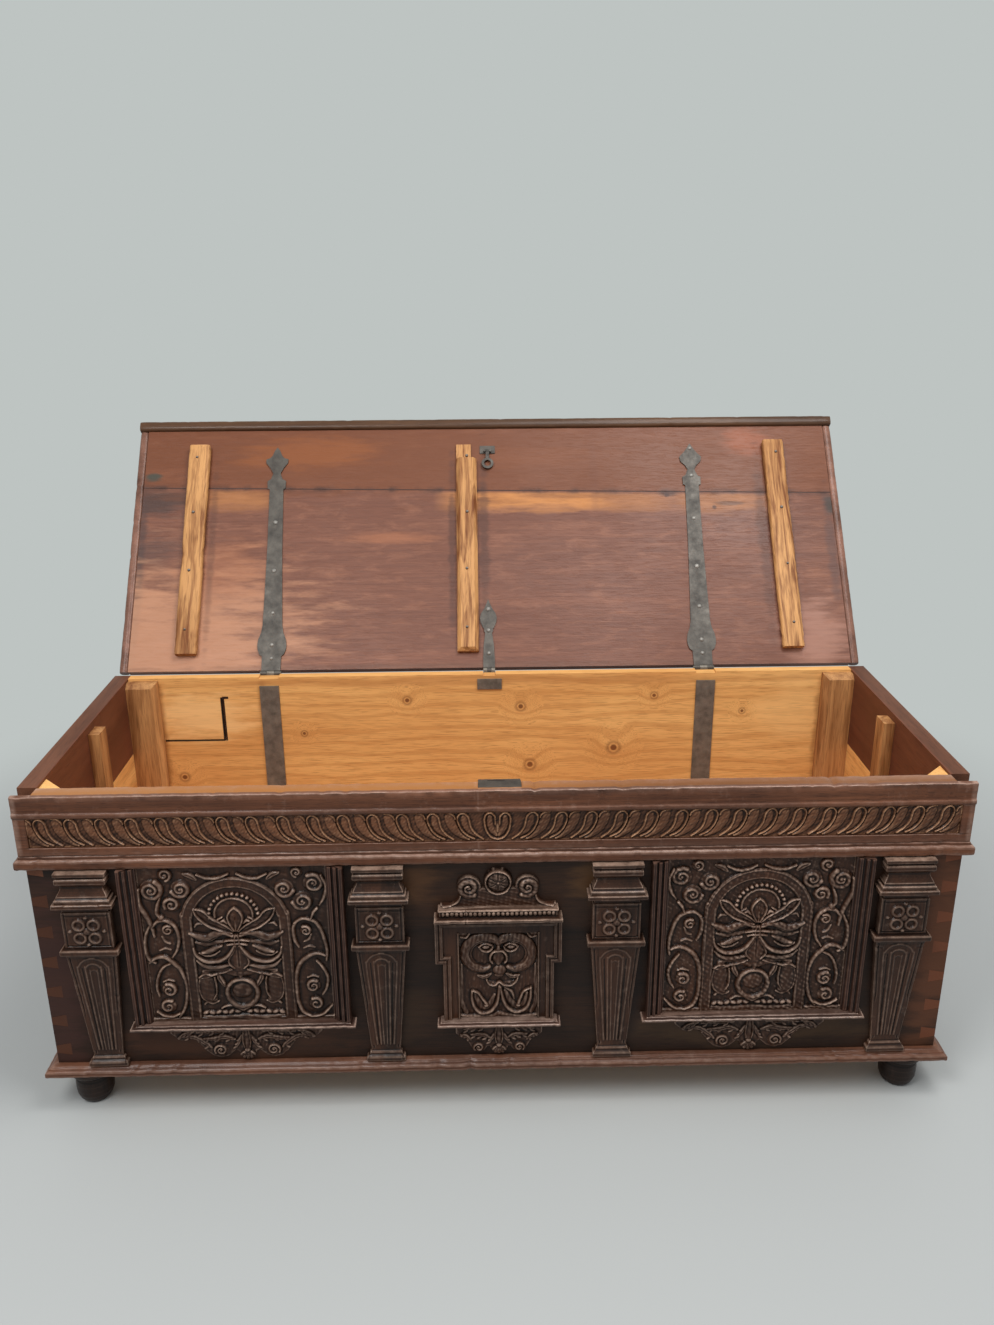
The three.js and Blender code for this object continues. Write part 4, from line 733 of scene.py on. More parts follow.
def lid_boards(name, dark, light, ochre, seed=19.0):
    """The lid's underside: an orange front plank and a purplish rear plank with a dark seam between them, a band
    of ochre sapwood under the seam, and ovals of old dirt and of darker and paler wood, with a painted shadow
    beside the middle batten and a painted reflection in two pale ovals near the hinge.
    """
    ink = Finish(name, lid=True)
    flat = ink.flat(1, -1.0)
    x, s, _ = ink.parts(flat)
    over = ink.plus(ink.sums("SUBTRACT", s, SEAM_MIDDLE), ink.times(x, SEAM_FALL))
    near = ink.sums("ABSOLUTE", over)
    height, patches = ink.wood(0, dark, light, seed, 10.0, 0.85)
    streaks = ink.noise(ink.at, (3.0, 150.0, 150.0), 4.0, 0.7, seed + 6)
    ink.tint(ink.spread(streaks, 0.44, 0.62, 0.0, 0.6), dark)
    quilt = ink.noise(ink.at, (13.0, 46.0, 46.0), 5.0, 0.65, seed + 8, bent=0.5)
    ink.tint(ink.spread(quilt, 0.5, 0.72, 0.0, 0.3), tone(176, 118, 86))
    plain = ink.colour
    plank = ink.spread(over, -0.001, 0.001)
    ink.tint(ink.times(plank, 0.62), tone(112, 62, 34))
    ink.tint(ink.times(ink.sums("SUBTRACT", 1.0, plank), 0.28), tone(126, 82, 66))
    ragged = ink.ragged(50.0, seed)
    under = ink.times(over, -1.0)
    band = ink.times(ink.spread(under, 0.002, 0.008),
                     ink.spread(ink.plus(under, ink.times(ragged, 0.03)), 0.034, 0.06, 1.0, 0.0))
    runs = [ink.times(ink.spread(x, (start - fade) * MM, start * MM),
                      ink.spread(x, (end - fade) * MM, (end + fade) * MM, share, 0.0))
            for start, end, fade, share in OCHRE_RUNS]
    ink.tint(ink.times(band, ink.most(runs)), ochre)
    # Tints the ovals: stains, a painted reflection and painted shadow.
    ink.tint_ovals(flat, ragged, LID_SPOTS)
    for u, v, radius in LID_KNOTS:
        away = ink.vector("DISTANCE", flat, (u * MM, v * MM, 0.0))
        ink.tint(ink.spread(away, radius * 0.4 * MM, radius * MM, 0.8, 0.0), tone(60, 34, 26))
    ink.tint(ink.spread(ink.parts(ink.at)[2], *(bound * MM for bound in LID_UPPER)), plain)
    cloudy = ink.spread(ink.noise(ink.at, (14.0, 14.0, 14.0), 3.0, 0.6, seed + 4), 0.45, 0.62, 0.0, 0.75)
    split = ink.spread(near, 0.0006, 0.0018, 0.95, 0.0)
    ink.tint(ink.most([ink.times(ink.spread(near, 0.001, 0.012, 1.0, 0.0), cloudy), split]), tone(46, 26, 20))
    return ink.done(ink.sums("SUBTRACT", height, split), patches, (0.36, 0.52), 0.5, 0.3)


def two_faced(name, outside, inside, axis, split_at, inner_below, spots=()):
    """A board with one look outside, with tinted ovals, and another inside: the coordinate along an axis
    chooses between them. The ends of the side boards' pins are lighter, more so to the right.
    """
    ink = Finish(name)
    x, y, z = ink.parts(ink.at)
    part = ink.sums("ABSOLUTE", x) if axis == 0 else y
    height, patches = ink.wood(*outside)
    if spots:
        ink.tint_ovals(ink.flat(2), ink.ragged(40.0, 1.0), spots)
    outer = ink.colour
    inner_height, _ = ink.wood(*inside)
    inner, ink.colour = ink.colour, outer
    within = ink.sums("LESS_THAN" if inner_below else "GREATER_THAN", part, split_at * MM)
    if axis == 0:
        within = ink.times(within, ink.sums("GREATER_THAN", y, (high("front_board")[1] - 1) * MM))
        ends = ink.sums("LESS_THAN", y, (FRONT + 2) * MM)
        ink.tint(ink.times(ends, ink.spread(x, 0.0, 0.1, 0.35, 0.8)), tone(112, 62, 38))
    ink.tint(within, inner)
    return ink.done(ink.plus(height, inner_height), patches, (0.42, 0.62), 0.3, 0.25)


def forged(name, light, dark, seed=3.0):
    """Wrought iron: hammer marks, dark scale in patches, and edges rubbed bright, more where they face up, which
    is a painted highlight.
    """
    ink = Finish(name)
    marks = ink.noise(ink.at, (55.0, 55.0, 55.0), 3.0, 0.5, seed)
    pits = ink.noise(ink.at, (420.0, 420.0, 420.0), 3.0, 0.6, seed + 1)
    patches = ink.noise(ink.at, (38.0, 38.0, 38.0), 5.0, 0.65, seed + 2)
    ink.colour = ink.blend(ink.spread(patches, 0.25, 0.75), dark, light)
    ink.tint(ink.times(ink.spread(pits, 0.56, 0.7), 0.35), tone(96, 66, 48))
    # Edges rubbed bright, and a painted highlight where they face up.
    ink.tint(ink.times(ink.layer("ridge"), 0.5, clamp=True), tone(140, 136, 130))
    ink.shader.inputs["Metallic"].default_value = 0.4
    return ink.done(ink.plus(marks, ink.times(pits, 0.3)), patches, (0.6, 0.42), 1.2, 0.5, 0.6)


BACK_KNOTS = [(-188, 596, 8), (64, 578, 9), (85, 436, 11), (274, 475, 12), (361, 600, 7), (-696, 417, 9),
              (-420, 520, 6), (560, 560, 6)]
BACK_SPOTS = [
    (-640, 560, 130, 60, (250, 204, 140), 0.6), (690, 560, 110, 90, (246, 198, 130), 0.4),
    (-600, 380, 200, 40, (196, 130, 70), 0.4), (0, 640, 760, 12, (170, 112, 62), 0.4),
    (-505, 600, 12, 60, (150, 96, 52), 0.5), (0, 330, 800, 40, (170, 108, 54), 0.45),
    (-735, 500, 14, 160, (140, 86, 42), 0.5), (735, 500, 14, 160, (140, 86, 42), 0.5)]
FRONT_SPOTS = [
    (800, 330, 70, 260, (106, 62, 38), 0.55), (480, 150, 260, 46, (74, 52, 32), 0.6),
    (-480, 140, 250, 44, (76, 44, 26), 0.55), (-800, 260, 60, 240, (66, 38, 32), 0.6),
    (-172, 470, 70, 46, (84, 54, 30), 0.65), (178, 472, 62, 50, (86, 58, 32), 0.65),
    (-180, 200, 60, 70, (52, 36, 22), 0.5), (250, 300, 14, 180, (30, 14, 12), 0.6)]
# Painted shade of the cuts in the back board, as slots.
BACK_SLOT_SHADE = [(-595.6, 557, 4.4, 52), (-589, 608, 7, 3), (-664, 506.8, 66, 2.2)]
# Colour of the rails' ridges: wear, and a painted highlight.
RAIL_WORN_AND_HIGHLIGHT = tone(176, 146, 130)
SIDE_INNER = low("side_lower_right")[0]

LOOKS = {
    "carved": lambda c: waxed(c, "carved_walnut", c.carved_hollow, c.carved, c.carved_worn_and_highlight, 2, 1.0, 0.34,
                              0.95),
    "carved_level": lambda c: waxed(c, "carved_walnut_level", c.carved_hollow, c.carved, c.carved_worn_and_highlight, 0,
                                    1.5, 0.34, 0.95),
    "rail": lambda c: waxed(c, "reddish_rail", c.rail_dark, c.rail, RAIL_WORN_AND_HIGHLIGHT, 0, 4.0, 0.4, 0.6),
    "rim": lambda c: waxed(c, "reddish_rim", c.rail_dark, c.rail, RAIL_WORN_AND_HIGHLIGHT, 0, 4.0, 0.4, 0.6, HONEY),
    "rail_up": lambda c: waxed(c, "reddish_rail_upright", c.carved_hollow, tone(70, 42, 32),
                               tone(142, 108, 92),
                               2, 4.6, 0.4, 0.5),
    "rail_deep": lambda c: waxed(c, "reddish_rail_sides", c.rail_dark, c.rail, RAIL_WORN_AND_HIGHLIGHT, 1, 4.8, 0.4, 0.6),
    "dark_up": lambda c: waxed(c, "dark_walnut_upright", c.carved_hollow, c.carved, c.carved_worn_and_highlight, 2,
                               6.0, 0.36, 0.7),
    "dark_level": lambda c: waxed(c, "dark_walnut_level", c.carved_hollow, c.carved, c.carved_worn_and_highlight, 0,
                                  6.6, 0.36, 0.7),
    "gadroon": lambda c: waxed(c, "gadroon_walnut", tone(34, 18, 12), tone(112, 70, 46), tone(186, 142, 108),
                               0, 24.0, 0.32, 0.95),
    "pilaster": lambda c: waxed(c, "pilaster_walnut", c.carved_hollow, c.carved, c.carved_worn_and_highlight, 2,
                                23.0, 0.34, 0.55),
    "sill": lambda c: waxed(c, "sill_walnut", c.carved_hollow, tone(92, 62, 50), tone(176, 148, 132),
                            0, 22.0, 0.36, 0.7),
    # A darker copy of the walnut for the feet, which stand in shadow: painted shade.
    "foot": lambda c: waxed(c, "foot_walnut_shaded", c.carved_hollow, tone(48, 32, 24), tone(104, 84, 70),
                            2, 25.0, 0.4, 0.5),
    "lid_side": lambda c: waxed(c, "lid_side", c.rail_dark, tone(150, 106, 88), tone(176, 136, 116),
                                1, 26.0, 0.42, 0.4),
    "lid_edge": lambda c: waxed(c, "lid_edge", tone(52, 34, 24), tone(96, 66, 44), tone(130, 98, 74),
                                0, 20.0, 0.42, 0.4),
    "front": lambda c: two_faced(
        "front_board", (0, c.board, c.board_light, 8.0, 9.0), (0, c.pine_grain, c.pine, 9.0, 16.0),
        1, high("front_board")[1] - 3, False, FRONT_SPOTS),
    "side_low": lambda c: two_faced(
        "side_board", (1, c.board, c.board_light, 10.0, 9.0), (1, c.pine_grain, c.pine, 11.0, 16.0),
        0, SIDE_INNER + 0.2, True),
    "side_high": lambda c: two_faced(
        "side_rail", (1, c.rail_dark, c.rail, 12.0, 12.0), (1, c.lid_dark, c.lid, 13.0, 14.0),
        0, SIDE_INNER + 3, True),
    "back": lambda c: bare("pine_back", c.pine_grain, c.pine, 0, 14.0, 10.0, 0.45, BACK_KNOTS, lines=0.3,
                           spots=BACK_SPOTS, slots=BACK_SLOT_SHADE),
    "pine": lambda c: bare("pine", c.pine_grain, c.pine, 0, 15.0, 15.0, 0.8),
    "pine_up": lambda c: bare("pine_upright", c.pine_grain, c.pine, 2, 16.0, 15.0, 0.8),
    "oak_up": lambda c: bare("oak_upright", c.oak_grain, c.oak, 2, 17.0, 30.0, 1.4),
    "batten": lambda c: bare("oak_batten", c.oak_grain, c.oak, 1, 18.0, 60.0, 2.2, lid=True),
    "lid": lambda c: lid_boards("lid_board", c.lid_dark, c.lid, c.lid_streak),
    "iron": lambda c: forged("wrought_iron", c.iron, c.iron_dark),
    # A paler copy of the iron for the irons in the case: painted light against the case's shade.
    "iron_low_lit": lambda c: forged("case_iron_lit", tone(140, 132, 120), tone(80, 74, 66), 6.0),
    # Pale heads: worn iron, and a painted highlight that stands in for their glints.
    "nail": lambda c: forged("nail_iron", tone(178, 172, 162), tone(84, 80, 76), 5.0),
    "nail_dark": lambda c: forged("dark_nail_iron", tone(84, 54, 36), tone(46, 30, 22), 7.0),
}

looks = {}


def look(name):
    """A finish, made once from the colours that the user has set."""
    if name not in looks:
        looks[name] = LOOKS[name](bpy.context.scene.coffer_finishes)
    return looks[name]


class CofferOperator:
    """What the coffer's operators share."""

    bl_options = {"REGISTER", "UNDO"}

    def execute(self, context):
        self.build(context.scene.coffer_sizes)
        return {"FINISHED"}


# Profiles


def rounded(points, radius=1.2, per=4):
    """A closed outline with its corners eased: each corner becomes the quadratic curve between two points
    that lie a radius away from it along its two sides.
    """
    here = np.asarray(points, float)
    sides = [np.roll(here, 1, 0) - here, np.roll(here, -1, 0) - here]
    lengths = [np.linalg.norm(side, axis=1, keepdims=True) for side in sides]
    start, end = (here + side / length * np.minimum(radius, 0.45 * length) for side,
                  length in zip(sides, lengths))
    t = np.linspace(0, 1, per)[:, None, None]
    bent = (1 - t) ** 2 * start + 2 * t * (1 - t) * here + t ** 2 * end
    return bent.transpose(1, 0, 2).reshape(-1, 2)


def wander(x, z, amount, seed):
    """Hand-made unevenness: the sum of five slow waves of x and z."""
    draw = np.random.default_rng(seed)
    total = np.zeros(np.broadcast(x, z).shape)
    for size in (310, 170, 83, 41, 23):
        total += np.sin(2 * math.pi * (x / size / draw.uniform(0.8, 1.2) + z / size / 2) + draw.uniform(0, 6))
    return amount / 2 * total


def nicks(x, count, half, deep, seed):
    """Small dents along an edge: bell curves of random place and width, as depths along x."""
    draw = np.random.default_rng(seed)
    place = draw.uniform(-half, half, count)
    wide = draw.uniform(1.5, 9, count)
    low_point = draw.uniform(0.2, 1, count) ** 2 * deep
    return (low_point * np.exp(-((x[..., None] - place) / wide) ** 2)).sum(-1)


# Frieze

FRIEZE_TOP = high("frieze_board")[2]
FRIEZE_FOOT = low("frieze_board")[2]
FRIEZE_HALF = high("frieze_board")[0]
FRIEZE_INNER = high("frieze_board")[1]
BEAD_PROUD = 3
FRIEZE_FACE = low("frieze_board")[1] + BEAD_PROUD
RAIL_FOOT = FRIEZE_TOP - 30
FIELD_TOP = RAIL_FOOT - 12
FIELD_FOOT = FRIEZE_FOOT + 15
FIELD_END = FRIEZE_HALF - 21
FIELD_GROUND = FRIEZE_FACE + 5
GADROONS = 15
HEART_HALF = 31
CASE_INNER = high("back_board")[0]
KEY_X = 0


def frieze_board():
    """The moulded board under the rim: an outline of y and z carried along x.

    Between its ends the outline steps back for the carving, at the corners its inner face steps forward of the
    side boards, and behind the lock a notch of the rim takes the lock's plate.
    """
    plate_low, plate_high = low("lock_case") - SEAM, high("lock_case") + SEAM
    edges = np.array([-FRIEZE_HALF, -FIELD_END, FIELD_END, FRIEZE_HALF, -CASE_INNER, CASE_INNER,
                      plate_low[0], plate_high[0]])
    x = np.unique(np.concatenate([np.linspace(-FRIEZE_HALF, FRIEZE_HALF, 300), edges - 0.1, edges + 0.1]))
    x = x[(x >= -FRIEZE_HALF) & (x <= FRIEZE_HALF)]
    ground = FIELD_GROUND + 1
    plain = rounded([
        (FRIEZE_INNER, FRIEZE_FOOT), (FRIEZE_INNER, FRIEZE_TOP), (plate_high[1] - 52, FRIEZE_TOP),
        (FRIEZE_FACE, FRIEZE_TOP), (FRIEZE_FACE - 0.3, 640), (FRIEZE_FACE + 0.5, 633.5), (FRIEZE_FACE, 630),
        (FRIEZE_FACE, RAIL_FOOT), (FRIEZE_FACE - BEAD_PROUD, RAIL_FOOT - 3),
        (FRIEZE_FACE - BEAD_PROUD, FIELD_TOP + 3),
        (FRIEZE_FACE, FIELD_TOP), (FRIEZE_FACE, FIELD_TOP - 0.2), (ground, FIELD_TOP - 0.2),
        (ground, FIELD_FOOT + 0.2),
        (FRIEZE_FACE, FIELD_FOOT + 0.2), (FRIEZE_FACE, FIELD_FOOT), (FRIEZE_FACE, FRIEZE_FOOT)], 2.2, 4)
    y = np.repeat(plain[None, :, 0], len(x), 0)
    z = np.repeat(plain[None, :, 1], len(x), 0)
    place = x[:, None] * np.ones_like(y)
    at_end = np.abs(place) > FIELD_END
    in_field = (z > FIELD_FOOT - 1) & (z < FIELD_TOP + 1) & (y > FRIEZE_FACE - 1) & (y < FRIEZE_INNER - 20)
    y = np.where(at_end & in_field, FRIEZE_FACE, y)
    behind = (np.abs(place) > CASE_INNER) & (y > FRONT - 0.3)
    y = np.where(behind, FRONT - SEAM, y)
    front = y < FRIEZE_FACE + 1.5
    wear = wander(place, z, 0.35, 3)
    y = y + np.where(front & (z < FRIEZE_TOP - 1), wear + nicks(place, 60, FRIEZE_HALF, 1.3, 4), 0)
    at_rim = (z > FRIEZE_TOP - 3) & ~behind
    z = z + np.where(at_rim, wander(place, y, 0.25, 5) - 0.5 - nicks(place, 40, FRIEZE_HALF, 1.6, 6), 0)
    notch = (place > plate_low[0]) & (place < plate_high[0]) & (y > plate_high[1] - 52.2) & (z > 640)
    z = np.where(notch, np.minimum(z, FRIEZE_TOP - 3.3), z)
    return tube(np.stack([place, y, z], -1))


def gadroon(relief, side, centre, tall):
    """One gadroon: a closed lobe that leans towards the middle, and the wider lobe behind it."""
    def line(points):
        return [(side * (centre + u), v) for u, v in points]

    inner = [(-35, 560), (-22, 570), (-14, 582), (-11, 595), (-9.5, 602), (-5, 608), (0.5, 610.5), (6, 608.5),
             (10, 601), (8, 590), (2, 577), (-8, 567), (-20, 561)]
    relief.stroke(line([(-3, 602), (-4, 590), (-11, 576), (-24, 565)]), [13, 14, 11, 4], tall * 0.5)
    relief.stroke(line([(24, 603), (20, 590), (12, 576), (-1, 565), (-10, 560)]), [17, 18, 15, 10, 5],
                  tall * 0.78)
    relief.stroke(line(inner), [3.2, 4, 3.8, 3.6, 3], tall)
    relief.stroke(line([(13.5, 600), (16, 606), (22, 610.5), (31, 611.5)]), [3, 3.6, 2.6], tall * 0.95)
    relief.cut(line([(11.5, 603), (10, 590), (3, 574), (-9, 562)]), 2.6, tall * 0.3)


def frieze_carving(sizes):
    """The carved field: rows of gadroons that lean to the middle from both sides, and a heart between them."""
    tall = sizes.gadroon_depth / MM * 0.84
    relief = Relief(-FIELD_END + SEAM, FIELD_END - SEAM, FIELD_FOOT + 0.5, FIELD_TOP - 0.5, 1.12)
    pitch = (FIELD_END - HEART_HALF) / GADROONS
    draw = np.random.default_rng(8)
    for side in (-1, 1):
        for k in range(GADROONS):
            centre = HEART_HALF + (k + 0.56) * pitch + draw.uniform(-1.2, 1.2)
            gadroon(relief, side, centre, tall * draw.uniform(0.9, 1.04))
    for side in (-1, 1):
        relief.stroke([(side * u, v) for u, v in (
            (4, 597), (5, 604), (12, 610.5), (19, 608), (22.5, 600), (22, 588), (19, 575), (11, 563.5),
            (0, 559.5))],
            [3.4, 4.4, 4, 4], tall)
        relief.stroke([(side * u, v) for u, v in ((4, 598), (3.5, 588), (0, 578))], 3, tall * 0.8)
        relief.stroke([(side * u, v) for u, v in ((13, 602), (13.5, 590), (9, 576), (2, 567))],
                      [10, 12, 11, 6], tall * 0.5)
    relief.roughen(0.28, 9)
    relief.pit(KEY_X, 584, 4.2, 5, 6)
    relief.cut([(KEY_X, 583), (KEY_X, 573)], 4.4, 6)
    relief.height = np.maximum(relief.height, -2.5)
    return slab(relief.face(FIELD_GROUND - 0.4), FIELD_GROUND + 0.8), relief.sunk(6, 2.2)


class AddFrieze(CofferOperator, bpy.types.Operator):
    """Add the moulded board under the rim and its gadroons"""

    bl_idname = "coffer.frieze"
    bl_label = "Frieze"

    def build(self, sizes):
        piece("frieze_board_mouldings", [frieze_board()], look("rim"),
              stands_for=("frieze_board",))
        shell, sunk = frieze_carving(sizes)
        piece("frieze_gadroons", [shell], look("gadroon"), sunk=sunk)


# Panels

PANEL_GROUND = BACK - 2.4
PANEL_PITCH = 1.12
PANEL_LIFT = 2


def arch(half, top, foot, steps=14):
    """An arch: two upright legs and half a circle between them."""
    turn = np.linspace(math.pi, 0, steps)
    bow = np.stack([half * np.cos(turn), top - half + half * np.sin(turn)], -1)
    return np.vstack([[(-half, foot)], bow, [(half, foot)]])


def palmette(relief):
    """Inside the arch, above the knot: a leaf under a ring of pearls, and two leaves to each side."""
    ring = np.radians(np.linspace(-8, 186, 17))
    relief.stroke(np.stack([-2 + 34 * np.cos(ring), 413 + 34 * np.sin(ring)], -1), 4, 0.5)
    for angle in ring:
        relief.ball(-2 + 43.5 * math.cos(angle), 413 + 43.5 * math.sin(angle), 4.2, 4, 0.74)
    relief.stroke([(0, 384), (0, 400), (0, 414), (0, 427)], [12, 26, 23, 5], 0.5)
    relief.twins([(3, 382), (11, 398), (13, 410), (8, 421), (0, 429)], [3, 4.4, 4.2, 3], 0.85)
    relief.stroke([(0, 382), (0, 398), (0, 412)], [4, 3.4, 2], 0.72)
    relief.twins([(14, 397), (20, 402), (25, 401)], [4, 6, 4], 0.7)
    relief.twins([(9, 380), (31, 392), (51, 407), (67, 424)], [5, 12, 15, 8], 0.42)
    relief.twins([(7, 377), (24, 382), (44, 390), (59, 402), (68, 414), (72, 427)],
                [3, 4.6, 4.4, 3.4], 0.86)
    relief.twins([(5, 381), (16, 391), (30, 400), (42, 408), (56, 423), (72, 428)],
                [3, 4, 4, 3.2], 0.8)
    relief.twins([(36, 399), (30, 405), (23, 409)], [3, 3.4, 2], 0.6)
    relief.twins([(58, 396), (68, 396), (73, 390)], [3, 5, 2.6], 0.5)


def bow(relief):
    """The knot with its wings, its hanging loops and its bud."""
    wing = [(7, 372), (22, 378), (38, 374), (52, 367), (68, 370), (83, 379)]
    relief.twins(wing, [6, 9, 13, 14, 12, 5], 1)
    relief.pair(relief.cut, [(20, 372), (38, 369), (54, 362), (70, 365)], 2.6, 0.25)
    relief.twins([(20, 360), (40, 356), (58, 354), (74, 358)], [5, 9, 10, 4], 0.5)
    for v, wide, high_up in ((370, 9, 0.8), (362, 22, 0.95), (354, 18, 0.9)):
        relief.stroke([(-wide, v - 1), (-wide * 0.4, v + 1), (wide * 0.4, v + 1), (wide, v - 1)],
                      [3, 5.6, 5.6, 3], high_up)
    relief.twins([(2, 373), (4, 362), (3, 350)], 3.2, 0.96)
    loop = [(5, 352), (11, 340), (22, 326), (36, 319), (52, 317), (67, 323), (76, 334), (79, 347)]
    relief.twins(loop, [4, 6.4, 7.4, 7.4, 6, 4], 0.96)
    relief.twins([(28, 351), (40, 346), (52, 339), (64, 337)], [4, 10, 10, 4], 0.82)
    relief.twins([(33, 338), (44, 331), (58, 329), (70, 335)], [3, 5, 5, 3], 0.45)
    relief.twins([(17, 310), (36, 305), (52, 305), (66, 310), (76, 321)], [5, 8.6, 8.6, 7, 3], 0.7)
    relief.stroke([(0, 350), (0, 338), (0, 322), (0, 304)], [8, 22, 38, 20], 0.62)
    relief.twins([(3, 350), (8, 338), (17, 324), (17, 312), (8, 303)], [3, 4, 4, 3], 0.82)
    relief.cut([(0, 345), (0, 325), (0, 308)], 2.4, 0.16)


def shield(relief):
    """Below the bow: folded drapery, a round shield between two bosses, and a row of small leaves."""
    relief.stroke([(-66, 296), (-44, 301), (-22, 296), (0, 290), (22, 296), (44, 301), (66, 296)],
                  [5, 11, 12, 12, 12, 11, 5], 0.46)
    relief.twins([(14, 300), (30, 294), (46, 290), (62, 284), (74, 282)], [3, 4.4, 5, 4.4, 3],
                0.66)
    relief.pair(relief.frond, [(40, 293), (38, 282), (33, 272), (29, 264)], 9, 0.75)
    relief.stroke([(0, 292), (0, 281)], [12, 5], 0.6)
    turn = np.radians(np.linspace(90, 450, 22))
    ring = np.stack([1 + 27.5 * np.cos(turn), 250 + 29 * np.sin(turn)], -1)
    relief.ball(1, 250, 26, 27, 0.3, edge=0.3)
    relief.stroke(ring, [6, 8.4, 9, 8.4, 6], 0.92)
    relief.ball(1, 255, 19.5, 17.5, 0.8, edge=0.6)
    relief.twins([(21, 233), (14, 224), (1, 215)], [7, 9, 7], 0.9)
    relief.twins([(62, 292), (63, 270), (61, 244), (52, 236)], [12, 26, 25, 10], 0.62)
    relief.twins([(47, 284), (45, 268), (46, 250), (52, 238)], [3, 3.8, 3.4, 3], 0.8)
    relief.twins([(50, 288), (63, 291), (75, 284)], [3, 4, 3], 0.72)
    relief.twins([(74, 280), (77, 262), (73, 242), (64, 232)], [3, 3.6, 3.6, 2.6], 0.6)
    relief.twins([(44, 232), (54, 228), (64, 231), (70, 225)], [3, 6, 6, 3], 0.55)
    for at, lean in ((-70, 30), (-58, -20), (-46, 25), (-34, -10), (-23, 35), (-11, 0), (11, 0), (23, -30),
                     (34, 12),
                     (46, -25), (58, 20), (70, -30)):
        relief.ball(at, 210 - abs(at) * 0.04, 7.4, 4.6, 0.74, turn=lean)
    relief.stroke([(-74, 200), (-40, 197), (0, 199), (40, 197), (74, 200)], [4, 6, 6, 6, 4], 0.5)
    relief.twins([(6, 214), (16, 221), (30, 222), (40, 216)], [3, 4.4, 4, 3], 0.6)


def spandrels(relief):
    """Outside the arch: scrolls that wind down both edges, each with its volutes."""
    scrolls = (
        (-143, 466, 23, 60, -1.7, 8), (-91, 468, 20, 200, 1.5, 7.6), (-116, 497, 14, -80, 1.3, 5.6),
        (-109, 437, 17, -150, -1.4, 6.6), (-121, 385, 12, 60, 1.4, 5), (-131, 258, 16, 110, -1.3, 6.4),
        (-136, 223, 16, 60, 1.2, 6),
        (91, 466, 20, -20, -1.5, 7.4), (122, 440, 21, -170, 1.4, 7), (143, 476, 21, 120, -1.5, 7),
        (115, 499, 12, -100, -1.2, 5), (124, 379, 12, 120, -1.3, 5), (131, 262, 15, 60, 1.3, 6.4),
        (134, 224, 15, 120, -1.2, 6))
    for u, v, radius, start, turns, width in scrolls:
        relief.ball(u, v, radius * 0.9, radius * 0.9, 0.46, edge=0.5)
        relief.volute(u, v, radius, start, turns, width, 0.84, 0.78)
    stems = (
        ([(-164, 468), (-166, 440), (-158, 418), (-150, 396), (-146, 372)], [4, 7, 8, 7, 4]),
        ([(-128, 452), (-134, 436), (-137, 420), (-130, 408)], [3, 6, 6, 3]),
        ([(-152, 395), (-162, 372), (-165, 348), (-161, 326), (-150, 317)], [4, 5.4, 6, 6, 4]),
        ([(-148, 392), (-137, 403), (-121, 404), (-108, 392), (-103, 370), (-108, 345), (-118, 328)],
         [4, 5.6, 6, 6, 6, 5, 3]),
        ([(-160, 318), (-148, 327), (-134, 329), (-121, 319), (-107, 301), (-99, 272), (-101, 240),
          (-108, 216),
          (-118, 201)], [4, 6, 7, 6.6, 6, 6, 6, 5.4, 4]),
        ([(-122, 316), (-138, 306), (-149, 285), (-153, 262), (-150, 246)], [3, 4.6, 5, 5, 3]),
        ([(-158, 212), (-146, 204), (-130, 201), (-116, 208)], [3, 4.6, 5, 3]),
        ([(157, 492), (165, 470), (161, 448), (152, 432)], [3, 5.6, 6, 3]),
        ([(146, 424), (140, 416), (135, 404)], [5, 5.6, 3]),
        ([(110, 400), (102, 385), (103, 362), (110, 345)], [4, 5.6, 6, 3]),
        ([(104, 395), (119, 404), (137, 400), (149, 385), (157, 358), (160, 335), (158, 316)],
         [3, 5.6, 5.6, 6, 6, 5.6, 4]),
        ([(156, 327), (142, 331), (127, 326), (110, 310), (101, 283), (100, 250), (102, 225), (110, 205),
          (124, 197)],
         [4, 6, 7, 7, 6.6, 6, 6, 5.4, 4]),
        ([(140, 316), (151, 300), (158, 280), (155, 258), (147, 244)], [3, 4.6, 5.4, 5.4, 3]),
        ([(124, 197), (142, 199), (154, 209), (163, 220)], [4, 4.6, 4.6, 2.6]))
    for line, widths in stems:
        relief.stroke(line, widths, 0.8)
    relief.ball(-131, 410, 7, 7, 0.8)
    relief.stroke([(-60, 496), (-42, 489), (-22, 490), (-5, 497)], [3, 5.6, 5.6, 3], 0.74)
    relief.stroke([(10, 497), (26, 489), (44, 488), (62, 496)], [3, 5.6, 5.6, 3], 0.74)
    relief.pair(relief.frond, [(62, 486), (72, 494), (84, 498)], 9, 0.6)
    relief.twins([(133, 371), (128, 360), (120, 356)], [3, 5, 3], 0.42)
    for u, v in ((-131, 278), (131, 282), (128, 345), (-130, 345)):
        relief.stroke([(u - 10, v - 3), (u, v + 1), (u + 10, v - 2)], [2.6, 4, 2.6], 0.4)


